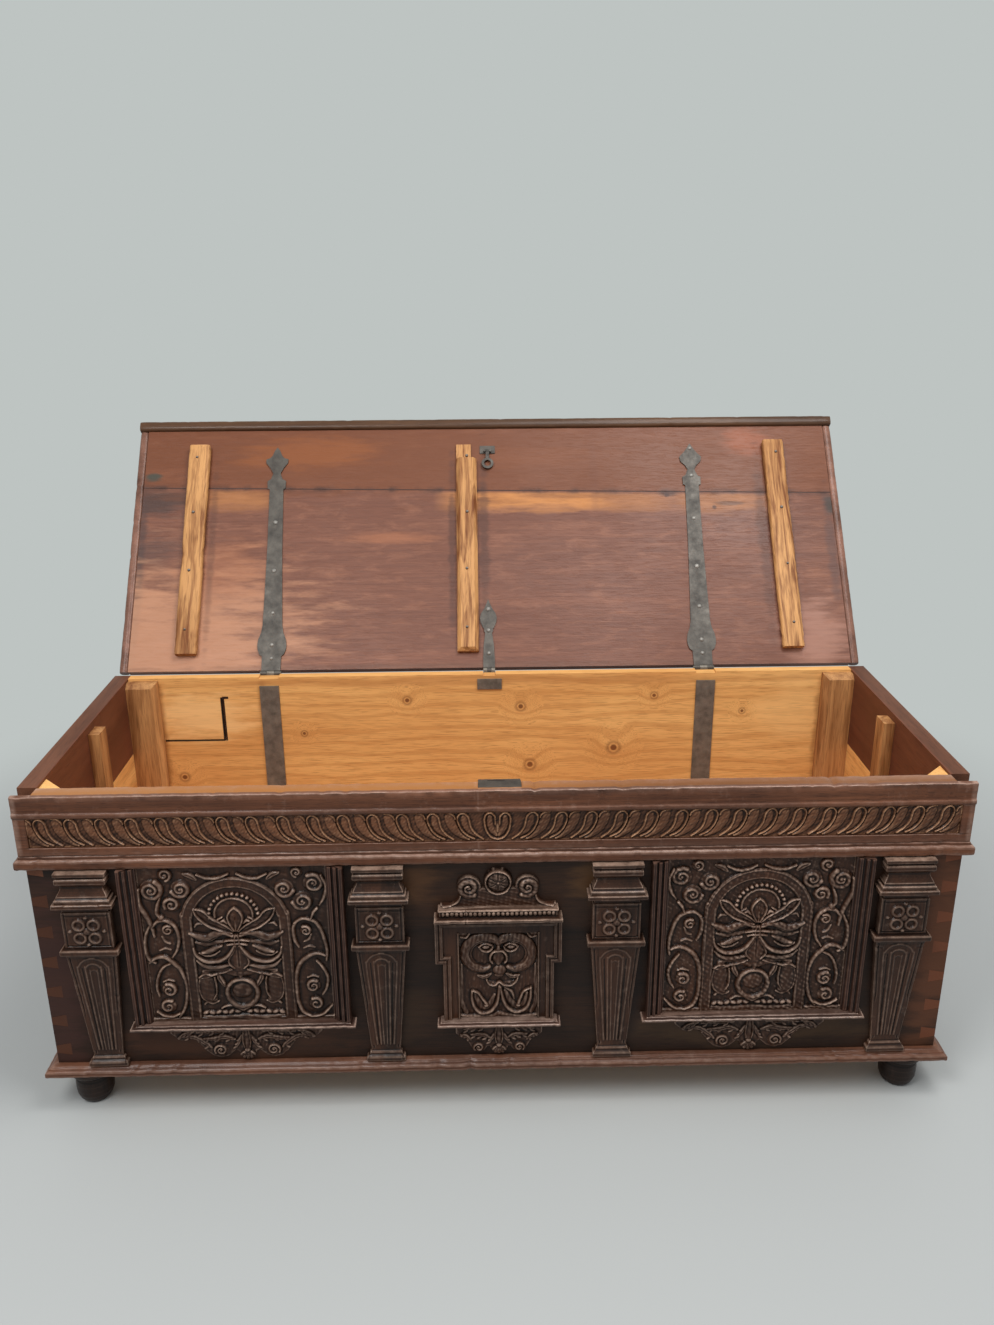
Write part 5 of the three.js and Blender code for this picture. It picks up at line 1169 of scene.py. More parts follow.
def carved_panel(centre, mirror, tall, seed):
    """A panel: relief on a plain ground, with an arch whose band has a thin ridge on each side."""
    half = (high("panel_right")[0] - low("panel_right")[0]) / 2
    relief = Relief(-half, half, low("panel_right")[2], high("panel_right")[2], PANEL_PITCH, mirror,
                    PANEL_LIFT, 1.45, tall)
    spandrels(relief)
    inside = arch(80, 472, 190)
    hollow = Relief(-half, half, low("panel_right")[2], high("panel_right")[2], PANEL_PITCH, mirror,
                    PANEL_LIFT)
    hollow.stroke(arch(40, 432, 190), 84, 1.0, edge=0.05)
    relief.height = np.where(hollow.height > 0.3, 0, relief.height)
    relief.stroke(arch(87.5, 480, 188), 15.5, 0.5, edge=0.2)
    relief.stroke(inside, 3, 0.6)
    relief.stroke(arch(94, 487, 188), 3.4, 0.66)
    relief.stroke([(-half, 193), (half, 193)], 8, 0.55, edge=0.4)
    relief.bold = 1.3
    palmette(relief)
    bow(relief)
    shield(relief)
    relief.roughen(0.5, seed, 14)
    relief.height = np.clip(relief.height, 0, tall)
    return slab(relief.face(PANEL_GROUND, centre=centre), BACK), relief.sunk(7, 4.4)


class AddPanels(CofferOperator, bpy.types.Operator):
    """Add the two carved panels"""

    bl_idname = "coffer.panels"
    bl_label = "Carved panels"

    def build(self, sizes):
        for name, mirror, seed in (("panel_left", 1, 21), ("panel_right", -1, 22)):
            centre = (low(name)[0] + high(name)[0]) / 2
            shell, sunk = carved_panel(centre, mirror, sizes.panel_depth / MM, seed)
            piece(name + "_carving", [shell], look("carved"), stands_for=(name,), sunk=sunk)


# Middle panel with its frame, cornice and sill


def mask(relief):
    """The grotesque: a heart-shaped ring round two lidded eyes and a nose, over a moustache and two scrolls."""
    ring = [(0, 354), (14, 363), (32, 365), (52, 358), (65, 342), (69, 322), (63, 302), (50, 290), (34, 285),
            (20, 291)]
    relief.twins([(u * 0.86, 320 + (v - 320) * 0.82) for u, v in ring],
                 [12, 17, 19, 19, 19, 19, 18, 17, 13, 8], 1)
    relief.pair(relief.cut, [(6, 346), (26, 352), (44, 343), (52, 324), (44, 306), (30, 302)], 3, 0.2)
    relief.twins([(12, 342), (20, 346), (30, 344), (35, 338)], [3, 4.6, 4.6, 3], 0.86)
    for side in (-1, 1):
        relief.ball(side * 23, 338, 8.4, 5, 0.82)
    relief.twins([(10, 340), (13, 333), (21, 329), (30, 332), (36, 340)], [3, 4.6, 5, 4.6, 3], 0.9)
    relief.stroke([(0, 348), (0, 338), (0, 328)], [7, 6, 10], 0.72)
    relief.twins([(0, 330), (8, 329), (14, 321), (15, 311), (11, 305)], [4, 5, 5, 4.6, 3.4], 0.95)
    relief.stroke([(0, 326), (0, 314), (0, 303)], [12, 20, 8], 0.6)
    relief.ball(2, 288, 13, 11, 0.84)
    relief.ball(1, 278, 9, 6, 0.66)
    relief.pair(relief.frond, [(14, 280), (26, 274), (38, 277)], 9, 0.6)
    relief.stroke([(-22, 268), (-17, 259), (-7, 257), (1, 263), (10, 257), (22, 256), (31, 263), (35, 271)],
                  [3.4, 4.6, 5, 5, 5, 5, 4.4, 3], 0.86)
    relief.stroke([(-20, 262), (-2, 255), (6, 255), (30, 262)], [6, 14, 14, 6], 0.36)


def scroll_feet(relief):
    """Two hooked scrolls shaped like the letter u, below the mask, over a wavy ridge."""
    relief.stroke([(-49, 244), (-49, 226), (-43, 206), (-30, 196), (-15, 200), (-4, 216), (0, 236), (1, 256)],
                  [4, 6, 7, 7.6, 7.6, 7, 6, 4.6], 0.92)
    relief.stroke([(-47, 245), (-38, 240), (-30, 227), (-23, 216)], [3.4, 5, 5, 6.4], 0.8)
    relief.stroke([(-44, 238), (-38, 220), (-28, 207), (-16, 214), (-8, 234)], [8, 12, 12, 11, 6], 0.42)
    relief.stroke([(3, 254), (8, 226), (18, 205), (34, 198), (50, 206), (58, 226), (59, 250)],
                  [4.6, 6.6, 7.4, 7.6, 7.4, 6.4, 4], 0.92)
    relief.stroke([(58, 249), (46, 242), (40, 228), (36, 214)], [3.4, 5, 5, 6.4], 0.8)
    relief.stroke([(12, 244), (20, 222), (34, 208), (48, 218), (52, 238)], [6, 11, 12, 11, 6], 0.42)
    relief.stroke([(12, 250), (24, 241), (28, 226)], [4, 6, 3], 0.55)
    for u, v in ((-23, 213), (36, 212)):
        relief.ball(u, v, 5.4, 4.4, 0.95)
    relief.stroke([(-68, 190), (-40, 188), (-12, 189), (0, 193), (14, 190), (40, 187), (68, 189)],
                  [6, 7, 8, 9, 8, 7, 6], 0.5)
    relief.twins([(67, 300), (68, 262), (68, 220), (60, 196)], [4, 7, 8, 8], 0.3)
    for side in (-1, 1):
        relief.ball(side * 63, 367, 11, 8, 0.6)
        relief.stroke([(side * 52, 368), (side * 58, 360), (side * 68, 361)], [3, 5.4, 3], 0.9)


def middle_carving(tall):
    """The middle panel."""
    reach = high("middle_panel")[0]
    relief = Relief(-reach, reach, low("middle_panel")[2], high("middle_panel")[2], 0.95,
                    lift=2, bold=1.2, tall=tall)
    mask(relief)
    scroll_feet(relief)
    relief.roughen(0.45, 31, 13)
    relief.height = np.clip(relief.height, 0, tall)
    return slab(relief.face(BACK - 2.4), BACK), relief.sunk(7, 4.4)


EAR_STEP = 14
EAR_TALL = 92
# Distance in from the outer outline, or out from the panel, and how proud the frame is there.
OUTER_LINES = [(0, 12), (1.2, 15), (6, 15), (7, 12.8), (8.4, 12.6), (9.6, 14.4), (14, 14.4), (15.6, 9.6),
               (18, 9)]
INNER_LINES = [(0, 9), (1, 12), (2.6, 12), (4, 9), (9, 8), (10, 0)]


def eared_frame():
    """The eared frame, from two distances: in from its outline, whose ears step out, and out from the panel.
    Each has its own lines, and the frame takes the prouder one.
    """
    (_, _, foot), (right, _, top) = low("middle_frame"), high("middle_frame")
    relief = Relief(-right, right, foot, top, 1.0)
    x, z = np.abs(relief.across), relief.up
    inwards = np.maximum(np.minimum(right - EAR_STEP - x, top - z),
                         np.minimum.reduce([right - x, z - (top - EAR_TALL), top - z]))
    field = high("middle_panel") + SEAM
    outwards = np.maximum(x - field[0], (z - field[2]) * 6)
    proud = np.maximum(np.interp(inwards, *np.array(OUTER_LINES).T),
                       np.interp(outwards, *np.array(INNER_LINES).T))
    relief.height = proud + wander(relief.across, z, 0.2, 33)
    face = relief.face(BACK)
    face[..., 1] = np.where(np.minimum(inwards, outwards) > 0, face[..., 1], FRONT + 0.6)
    return slab(face, FRONT + 1)


def levels(half, reach, z, front_columns=24, ease=1.4):
    """A stack of flat-backed sections, each as wide as half and as proud as reach at its height z: a moulded
    block whose outline goes from the back along one side, over the front with eased corners, and back.
    """
    half, reach, z = (np.asarray(values, float)[:, None] for values in (half, reach, z))
    corner = np.radians(np.linspace(0, 90, 5))
    soft = np.minimum(ease, 0.4 * np.minimum(half, np.maximum(reach, 0.2)))
    front = np.linspace(-1, 1, front_columns)[None, :]
    left = -half + soft - soft * np.cos(corner)[None, :]
    rise = reach - soft + soft * np.sin(corner)[None, :]
    x = np.hstack([-half, left, front * (half - soft), -left[:, ::-1], half])
    proud = np.hstack([reach * 0, rise, reach + 0 * front, rise[:, ::-1], reach * 0])
    return x, proud, np.broadcast_to(z, x.shape).copy()


def fine(shares, foot, tall, pitch):
    """A profile of (height share, width share, reach share) drawn finely enough to be carved."""
    shares = np.asarray(shares, float)
    z = foot + tall * shares[:, 0]
    even = np.union1d(z, np.linspace(z[0], z[-1], int(tall / pitch) + 2))
    return even, np.interp(even, z, shares[:, 1]), np.interp(even, z, shares[:, 2])


CORNICE_SHARES = [
    (0, 0.9, 0.66), (0.05, 0.97, 0.88), (0.12, 1, 1), (0.2, 1.005, 1.02), (0.34, 1, 1), (0.4, 0.965, 0.84),
    (0.44, 0.92, 0.62), (0.87, 0.92, 0.6), (0.89, 0.94, 0.7), (0.96, 0.94, 0.68), (1, 0.93, 0.6)]
CORNICE_TALL = 24
BEAD_PITCH = 8.2
BEAD_LEVEL = 0.655 * CORNICE_TALL


def cornice():
    """The cornice: a nose, a band of small beads, and a fillet."""
    foot, half, reach = low("middle_cornice")[2], high("middle_cornice")[0], 32
    z, wide, deep = fine(CORNICE_SHARES, foot, CORNICE_TALL, 0.8)
    x, proud, up = levels(wide * half, deep * reach, z, 260, 1.2)
    off = (x / BEAD_PITCH - np.round(x / BEAD_PITCH)) * BEAD_PITCH
    ball = 1 - (off / 3.9) ** 2 - ((up - foot - BEAD_LEVEL) / 4.9) ** 2
    proud = proud + np.where(np.abs(x) < half * 0.88, 3.2 * np.sqrt(np.clip(ball, 0, 1)), 0)
    worn = np.minimum(wander(x, up, 0.3, 35) - nicks(x, 14, half, 1.4, 36), 0)
    proud = np.where(proud > 1, proud + worn, proud) - 0.2
    return tube(np.stack([x, BACK - proud, up], -1))


# Middles of the crest's scrolls and boss, radius of the boss's ring, and heights of the plate and carving.
SCROLL_X, SCROLL_Z = 52, 465.2
BOSS_Z = 475.7
BOSS_RING = 22.4
CREST_PLATE = 8
CREST_CARVING = 6.6


def crest():
    """The crest: a plate with hollow shoulders, two scroll discs and a round boss with a plain rosette.

    Its outline is the height of the plate over each x; a column above that height folds back to the plate's
    edge, and the relief lies on what is left.
    """
    foot = low("middle_cornice")[2] + CORNICE_TALL + SEAM
    top = high("middle_cornice")[2]
    relief = Relief(-106, 106, foot, top, 0.9, tall=CREST_CARVING)
    x, z = relief.across, relief.up
    inside = np.maximum.reduce([
        21.5 - np.hypot(np.abs(x) - SCROLL_X, z - SCROLL_Z), 25.5 - np.hypot(x, z - BOSS_Z),
        np.minimum.reduce([66.5 - np.abs(x), 463 - z, z - foot + 9]),
        np.minimum.reduce([103 - np.abs(x), foot + 4 - z, z - foot + 9]),
        np.minimum.reduce([np.hypot(np.abs(x) - 98, z - 456) - 29.5, 98 - np.abs(x), 452 - z]),
        9 - np.abs(x) + 0 * z - np.maximum(z - 470, 0)])
    relief.twins([(98, 428), (84, 431), (72, 439), (66, 452)], [4, 6, 6, 4], 1)
    for side in (-1, 1):
        start, turns = (-120, 1.6) if side > 0 else (-60, -1.6)
        relief.stroke(spiral(side * SCROLL_X, SCROLL_Z, 17, start, turns), [13, 11, 6], 1)
        relief.ball(side * SCROLL_X, SCROLL_Z, 5.4, 5.4, 1)
    turn = np.radians(np.linspace(0, 360, 26))
    relief.stroke(np.stack([BOSS_RING * np.cos(turn), BOSS_Z + BOSS_RING * np.sin(turn)], -1), 5, 1)
    relief.ball(0, BOSS_Z, 20, 20, 0.8, edge=0.7)
    for k in range(6):
        angle = math.pi / 3 * k + math.pi / 6
        relief.cut([(reach * math.cos(angle), BOSS_Z + reach * math.sin(angle)) for reach in (6, 15)], 2.6,
                   0.2)
    relief.ball(0, BOSS_Z, 5, 5, 1)
    relief.roughen(0.45, 37, 11)
    return relief.cut_out(inside, CREST_PLATE)


SILL_SHARES = [
    (0, 0.86, 0.3), (0.1, 0.93, 0.62), (0.24, 0.985, 0.92), (0.36, 1, 1), (0.62, 1, 1), (0.72, 0.985, 0.93),
    (0.8, 0.955, 0.8), (0.9, 0.95, 0.78), (1, 0.94, 0.7)]


def sill(name, seed):
    """A sill: a board whose worn front edge is rounded over a hollow."""
    (left, front, _), (right, _, top) = low(name), high(name)
    z, wide, deep = fine(SILL_SHARES, top - SILL_TALL, SILL_TALL, 0.9)
    x, proud, up = levels(wide * (right - left) / 2, deep * (BACK - front), z, 150, 1.2)
    place = x + (left + right) / 2
    worn = wander(place, up, 0.35, seed) - nicks(place, 26, 640, 1.8, seed + 1)
    proud = np.where(proud > 2, proud + worn, proud)
    return tube(np.stack([place, BACK - proud, up], -1))


def acanthus(relief, points, width):
    """A leaf with lobes: a frond, and three short leaves that lean out from it on one side."""
    relief.frond(points, width, 0.8)
    line = curve(points)
    for share in np.linspace(0.2, 0.85, 3):
        u, v = line[int(share * (len(line) - 1))]
        relief.stroke([(u, v), (u + math.copysign(3, u), v - 5), (u + math.copysign(8, u), v - 8)],
                      [5, 7, 3], 0.68)


WIDE_APRON = {
    "edge": [(0, 103), (8, 105), (14, 111), (17, 121), (22, 124), (28, 118), (36, 111), (50, 107), (64, 111),
             (76, 122), (84, 134), (93, 146), (104, 149), (114, 146), (124, 147), (131, 154), (140, 162)],
    "volutes": [(49, 127, 15, -30, 1.5, 6)],
    "leaves": [([(22, 150), (40, 156), (62, 152), (80, 152)], 13),
               ([(66, 132), (78, 144), (96, 156), (118, 156)], 12),
               ([(8, 160), (14, 146), (20, 134)], 9), ([(30, 168), (60, 168), (92, 166)], 9),
               ([(96, 168), (112, 164), (126, 156)], 8)],
    "pendant": (118, 15),
}
MIDDLE_APRON = {
    "edge": [(0, 105), (8, 106), (14, 112), (17, 121), (22, 121), (27, 113), (38, 109), (49, 113), (55, 126),
             (62, 138), (72, 143), (80, 150)],
    "volutes": [(38, 122, 12, -40, 1.4, 5)],
    "leaves": [([(18, 144), (32, 150), (52, 150)], 11), ([(52, 138), (62, 148), (72, 150)], 9),
               ([(7, 154), (12, 144), (17, 134)], 8), ([(22, 166), (44, 166), (66, 162)], 9)],
    "pendant": (118, 13.5),
}


SILL_TALL = 11
APRON_CARVING = 6


def apron(name, shape, seed):
    """The carving that hangs under a sill: volutes and leaves to both sides of a pendant, cut to an outline."""
    (left, _, foot), (right, _, top) = low(name), high(name)
    reach = min((right - left) / 2, shape["edge"][-1][0] + 1)
    relief = Relief(-reach, reach, foot, top - SILL_TALL - 0.2, 1.0, tall=APRON_CARVING)
    inside = (relief.up - np.interp(np.abs(relief.across), *np.array(shape["edge"]).T)) * 0.7
    inside = np.minimum(inside, reach - np.abs(relief.across))
    for side in (-1, 1):
        for u, v, radius, start, turns, width in shape["volutes"]:
            relief.ball(side * u, v, radius * 0.9, radius * 0.9, 0.4, edge=0.4)
            relief.volute(side * u, v, radius, start if side > 0 else 180 - start, side * turns, width, 0.95)
        for points, width in shape["leaves"]:
            acanthus(relief, [(side * u, v) for u, v in points], width)
    v, radius = shape["pendant"]
    for turn in range(5):
        angle = math.radians(-90 + (turn - 2) * 38)
        relief.frond([(3 * math.cos(angle), v + 6 + 3 * math.sin(angle)),
                      (radius * 0.6 * math.cos(angle), v + 3 + radius * 0.6 * math.sin(angle)),
                      (radius * 0.95 * math.cos(angle), v + radius * 0.95 * math.sin(angle))], 8, 0.9)
    relief.ball(0, v + 8, 6, 6, 1)
    relief.stroke([(0, v + 14), (0, v + 34), (0, top - 14)], [10, 14, 12], 0.6)
    relief.twins([(5, v + 14), (7, v + 30), (4, top - 16)], [3, 3.6, 3], 0.85)
    relief.roughen(0.4, seed, 11)
    made, sunk = relief.cut_out(inside, 4.2)
    made[0][:, 0] += (left + right) / 2
    return made, sunk


class AddMiddle(CofferOperator, bpy.types.Operator):
    """Add the middle panel with its frame, cornice and crest"""

    bl_idname = "coffer.middle"
    bl_label = "Middle panel and frame"

    def build(self, sizes):
        shell, sunk = middle_carving(sizes.middle_depth / MM)
        piece("middle_panel_carving", [shell], look("carved"), stands_for=("middle_panel",),
              sunk=sunk)
        piece("eared_frame", [eared_frame()], look("dark_up"), stands_for=("middle_frame",))
        shell, sunk = crest()
        piece("crest", [shell], look("carved_level"), stands_for=("middle_cornice",),
              sunk=sunk)
        piece("cornice", [cornice()], look("carved_level"), stands_for=("middle_cornice",))


class AddSills(CofferOperator, bpy.types.Operator):
    """Add the three sills and the carved aprons under them"""

    bl_idname = "coffer.sills"
    bl_label = "Sills and aprons"

    def build(self, sizes):
        for name, shape, seed in (("sill_left", WIDE_APRON, 41), ("sill_right", WIDE_APRON, 44),
                                  ("middle_sill", MIDDLE_APRON, 47)):
            shell, sunk = apron(name, shape, seed)
            piece(name + "_apron", [shell], look("carved_level"), stands_for=(name,),
                  sunk=sunk)
            piece(name + "_board", [sill(name, seed + 1)], look("sill"), stands_for=(name,))


# Pilasters and stiles

PILASTER_FOOT = low("pilaster_inner_left")[2]
SHAFT_FOOT = PILASTER_FOOT + 19
BLOCK_MIDDLE = 396.7

# Height, half width and reach of each turn of the outline, from the base to the cap.
BASE_LINES = [(100.3, 35, 14), (101.2, 36, 15), (108, 36, 15), (110, 35, 14), (113, 31, 10.5), (117, 30, 10),
              (119.3, 28, 8)]
SHAFT_LINES = [(120, 27, 7), (340, 44, 19.2), (344, 45, 20), (348, 46, 21)]
BLOCK_LINES = [(348.9, 49, 25), (350, 51.5, 27.5), (352, 52, 28), (358, 52, 28), (359.5, 51.4, 27.4),
               (360.7, 48, 24), (361.2, 43, 20), (432.7, 43, 20), (435, 40.5, 17.5), (440, 41, 18),
               (444, 46, 25),
               (447.7, 51, 31)]
CAP_LINES = [(448.5, 53, 33), (455, 53, 33), (455.9, 52, 32), (456.2, 47, 27), (457.2, 48.5, 29),
             (462, 48.5, 29),
             (464, 46, 26.5), (465.5, 44.5, 25), (468, 44.5, 25), (473, 42, 22), (478, 39, 19.5),
             (483, 37.5, 18),
             (486, 38, 18.5), (488, 40.5, 21), (490.5, 43, 23), (493, 44.5, 24.5), (500, 44.5, 24.5),
             (502, 43, 23),
             (503.5, 40.5, 20.5), (505, 40.5, 20.5), (506.5, 44, 24), (508, 45, 25), (513.4, 45, 25)]


def rosette(relief, v, radius, tall):
    """A rosette: four round petals on the diagonals, each a ring round a hollow, with a button between them and
    a bead between each pair.
    """
    turn = np.radians(np.linspace(0, 360, 22))
    for k in range(4):
        wide, narrow = math.pi / 4 + k * math.pi / 2, k * math.pi / 2
        u, up = 0.62 * radius * math.cos(wide), v + 0.62 * radius * math.sin(wide)
        relief.stroke(np.stack([u + 9.6 * np.cos(turn), up + 9.6 * np.sin(turn)], -1), 7, tall * 0.95)
        relief.ball(radius * math.cos(narrow), v + radius * 0.92 * math.sin(narrow), 4.4, 3.6, tall * 0.7)
    relief.ball(0, v, 7.4, 7.4, tall, edge=0.8)


def shaft_carving(relief, tall):
    """The shaft's lines: a border along each edge and three nested arches whose legs draw together downwards."""
    relief.pair(relief.cut, [(22.5, 126), (39, 342)], 2.6, tall * 0.55)
    for foot_half, top_half, top, width, high_up in ((15.5, 27.5, 312, 4.4, 0.6), (8.5, 14, 314, 4.4, 0.75),
                                                   (3, 6.5, 308, 3, 0.4)):
        turn = np.linspace(0, math.pi / 2, 5)
        bend = [(top_half * math.cos(angle), top + top_half * math.sin(angle)) for angle in turn]
        relief.pair(relief.stroke, [(foot_half, 134), ((foot_half + top_half) / 2, 223), *bend], width,
                    tall * high_up)
    relief.pair(relief.cut, [(11.8, 136), (20, 318)], 3.6, tall * 0.45)


def pilaster(name, seed):
    """A pilaster: sections stacked by its lines, with the carving laid on their fronts."""
    (left, _, foot), (right, _, top) = low(name), high(name)
    z, half, reach = np.array(BASE_LINES + SHAFT_LINES + BLOCK_LINES + CAP_LINES).T
    z = foot + (z - z[0]) * (top - foot) / (z[-1] - z[0])
    even = np.union1d(z, np.linspace(foot, top, int((top - foot) / 1.25)))
    relief = Relief(-54, 54, foot, top, 1.0)
    rosette(relief, BLOCK_MIDDLE, 30, 5)
    relief.cut([(-38, 366), (-38, 427.5), (-38, 427.5)], 2.4, 1.6)
    relief.cut([(38, 366), (38, 427.5), (38, 427.5)], 2.4, 1.6)
    relief.cut([(-38, 366), (0, 366), (38, 366)], 2.4, 1.6)
    relief.cut([(-38, 427.5), (0, 427.5), (38, 427.5)], 2.4, 1.6)
    shaft_carving(relief, 2.6)
    x, proud, up = levels(np.interp(even, z, half), np.interp(even, z, reach), even, 84)
    onto = proud > np.interp(up, z, reach) - 0.6
    proud = proud + np.where(onto, relief.at(x, up), 0)
    worn = wander(x + seed * 30, up, 0.35, seed) - nicks(up, 30, top, 1.1, seed) * (np.abs(x) > 30)
    proud = np.where(proud > 2, proud + np.minimum(worn, 0), proud)
    shade = np.where(onto, np.clip(-relief.at(x, up) / 1.6, 0, 1), 0)
    return tube(np.stack([x + (left + right) / 2, BACK - proud, up], -1)), shade


# Across a stile from its outer edge to the panel: share of its width, and reach as a share of the whole.
STILE_LINES = [(0, 0.86), (0.05, 1), (0.2, 1), (0.25, 0.8), (0.32, 0.76), (0.38, 0.9), (0.5, 0.92),
               (0.56, 0.66),
               (0.64, 0.6), (0.7, 0.72), (0.86, 0.66), (0.93, 0.46), (1, 0.4)]


def stile(name, outer, seed):
    """A stile: lines carried up its length, with the outer edge on the given side."""
    (left, front, foot), (right, _, top) = low(name), high(name)
    share, reach = np.array(STILE_LINES).T
    fine_share = np.union1d(share, np.linspace(0, 1, 34))
    proud = np.interp(fine_share, share, reach) * (BACK - front)
    x = left + fine_share * (right - left) if outer < 0 else right - fine_share * (right - left)
    z = np.linspace(foot, top, 130)[:, None]
    across = np.broadcast_to(x, (130, len(x)))
    deep = proud + wander(across, z, 0.35, seed) - 0.8 * nicks(np.broadcast_to(z, across.shape), 24, top,
                                                               1.2, seed)
    front_face = np.stack([across, BACK - deep, np.broadcast_to(z, across.shape)], -1)
    back_face = front_face[:, ::-1].copy()
    back_face[..., 1] = BACK
    return tube(np.concatenate([front_face, back_face[:, [0, -1]]], 1))


class AddPilasters(CofferOperator, bpy.types.Operator):
    """Add the four pilasters"""

    bl_idname = "coffer.pilasters"
    bl_label = "Pilasters"

    def build(self, sizes):
        for seed, name in enumerate(("pilaster_outer_left", "pilaster_inner_left", "pilaster_inner_right",
                                     "pilaster_outer_right")):
            shell, shade = pilaster(name, 51 + seed)
            piece(name + "_carving", [shell], look("pilaster"), stands_for=(name,),
                  sunk=shade)


class AddStiles(CofferOperator, bpy.types.Operator):
    """Add the stiles beside the panels"""

    bl_idname = "coffer.stiles"
    bl_label = "Stiles"

    def build(self, sizes):
        for seed, name in enumerate(("stile_left_left", "stile_left_right", "stile_right_left",
                                     "stile_right_right")):
            outer = -1 if name.endswith("left") else 1
            piece(name + "_mouldings", [stile(name, outer, 61 + seed)], look("rail_up"),
                  stands_for=(name,))


# Mouldings round the case, and the feet

# Share of the height, and of the reach, from the foot of each moulding upwards.
BELT_LINES = [(0, 0.5), (0.05, 0.78), (0.14, 0.95), (0.26, 1), (0.58, 1), (0.68, 0.95), (0.76, 0.78),
              (0.79, 0.62),
              (0.83, 0.58), (0.94, 0.56), (1, 0.46)]
PLINTH_LINES = [(0, 0.72), (0.05, 0.88), (0.14, 0.98), (0.24, 1), (0.5, 1), (0.6, 0.95), (0.68, 0.84),
                (0.73, 0.72),
                (0.8, 0.66), (0.92, 0.5), (1, 0.3)]
CASE_HALF = high("front_board")[0]


def edging(node_name, lines, seed):
    """A moulding along the front or a side: its lines stand off the boards, and at a mitre each line runs on
    as far as it stands off. Dents and waves wear its nose.
    """
    (left, front, foot), (right, rear, top) = low(node_name), high(node_name)
    side = 0 if right - left > 100 else math.copysign(1, left + right)
    reach = BACK - front if side == 0 else abs(right if side > 0 else left) - CASE_HALF - SEAM
    height, proud = np.array(lines).T
    share = np.union1d(height, np.linspace(0, 1, 22))
    proud = np.interp(share, height, proud) * reach
    count = 420 if side == 0 else 170
    along = np.linspace(-1 if side == 0 else 0, 1, count)[:, None]
    z = np.broadcast_to(foot + share * (top - foot), (count, len(share)))
    place = along * (CASE_HALF if side == 0 else rear - front) + side * 1300
    worn = wander(place, z, 0.4, seed) - 0.4 - nicks(np.broadcast_to(place, z.shape), 70, 840, 1.9, seed + 1)
    worn = np.minimum(worn, 0) * (proud > 6)
    stand = proud + worn
    if side == 0:
        rings = np.stack([along * (CASE_HALF + proud - 0.2), BACK - stand, z], -1)
        wall = np.stack([along * CASE_HALF * np.ones(2), np.full((count, 2), BACK), z[:, [-1, 0]]], -1)
    else:
        start = BACK - proud + 0.2
        rings = np.stack([side * (CASE_HALF + SEAM + stand), start + along * (rear - start), z], -1)
        wall = np.stack([np.full((count, 2), side * (CASE_HALF + SEAM)),
                         BACK + along * (rear - BACK) * np.ones(2),
                         z[:, [-1, 0]]], -1)
    return tube(np.concatenate([rings, wall], 1))


FOOT_LINES = [(0, 22), (1, 25), (4, 28), (10, 31.5), (18, 34.2), (27, 35), (40, 35), (50, 34), (56, 33),
              (59, 34),
              (61, 38), (63, 41.5), (66, 43.6), (70, 44), (75, 44), (77.4, 43), (77.7, 40)]


def foot(name):
    """A turned foot: a profile of height and radius turned about the upright axis, with slight tool marks."""
    middle = (low(name) + high(name)) / 2
    z, radius = np.array(FOOT_LINES).T
    even = np.union1d(z, np.linspace(0, z[-1], 60))
    wide = np.interp(even, z, radius) + 0.12 * np.sin(even * 2.1)
    turn = np.linspace(0, 2 * math.pi, 64, endpoint=False)[None, :]
    return tube(np.stack([middle[0] + wide[:, None] * np.cos(turn), middle[1] + wide[:, None] * np.sin(turn),
                          np.broadcast_to(even[:, None], (len(even), 64))], -1))


class AddMouldings(CofferOperator, bpy.types.Operator):
    """Add the belt and the plinth round the case"""

    bl_idname = "coffer.mouldings"
    bl_label = "Belt and plinth"

    def build(self, sizes):
        for kind, lines, seed in (("belt", BELT_LINES, 71), ("plinth", PLINTH_LINES, 75)):
            for shift, side in enumerate(("front", "left", "right")):
                name = kind + "_" + side
                piece(name + "_moulding", [edging(name, lines, seed + shift)],
                      look("rail" if side == "front" else "rail_deep"), stands_for=(name,))


class AddFeet(CofferOperator, bpy.types.Operator):
    """Add the turned feet"""

    bl_idname = "coffer.feet"
    bl_label = "Feet"

    def build(self, sizes):
        for name in ("foot_front_left", "foot_front_right", "foot_rear_left", "foot_rear_right"):
            piece(name + "_turning", [foot(name)], look("foot"), stands_for=(name,))


# Lid


def lid_box(name):
    """Lowest and highest corner of a solid of the lid, in the closed lid's frame."""
    solid = frame["nodes"][name]
    place = np.empty(len(solid.data.vertices) * 3, np.float32)
    solid.data.vertices.foreach_get("co", place)
    place = place.reshape(-1, 3) / MM - HINGE
    y = place[:, 1] * math.cos(OPEN_ANGLE) - place[:, 2] * math.sin(OPEN_ANGLE)
    z = place[:, 1] * math.sin(OPEN_ANGLE) + place[:, 2] * math.cos(OPEN_ANGLE)
    turned = np.stack([place[:, 0], y, z], -1)
    return turned.min(0), turned.max(0)


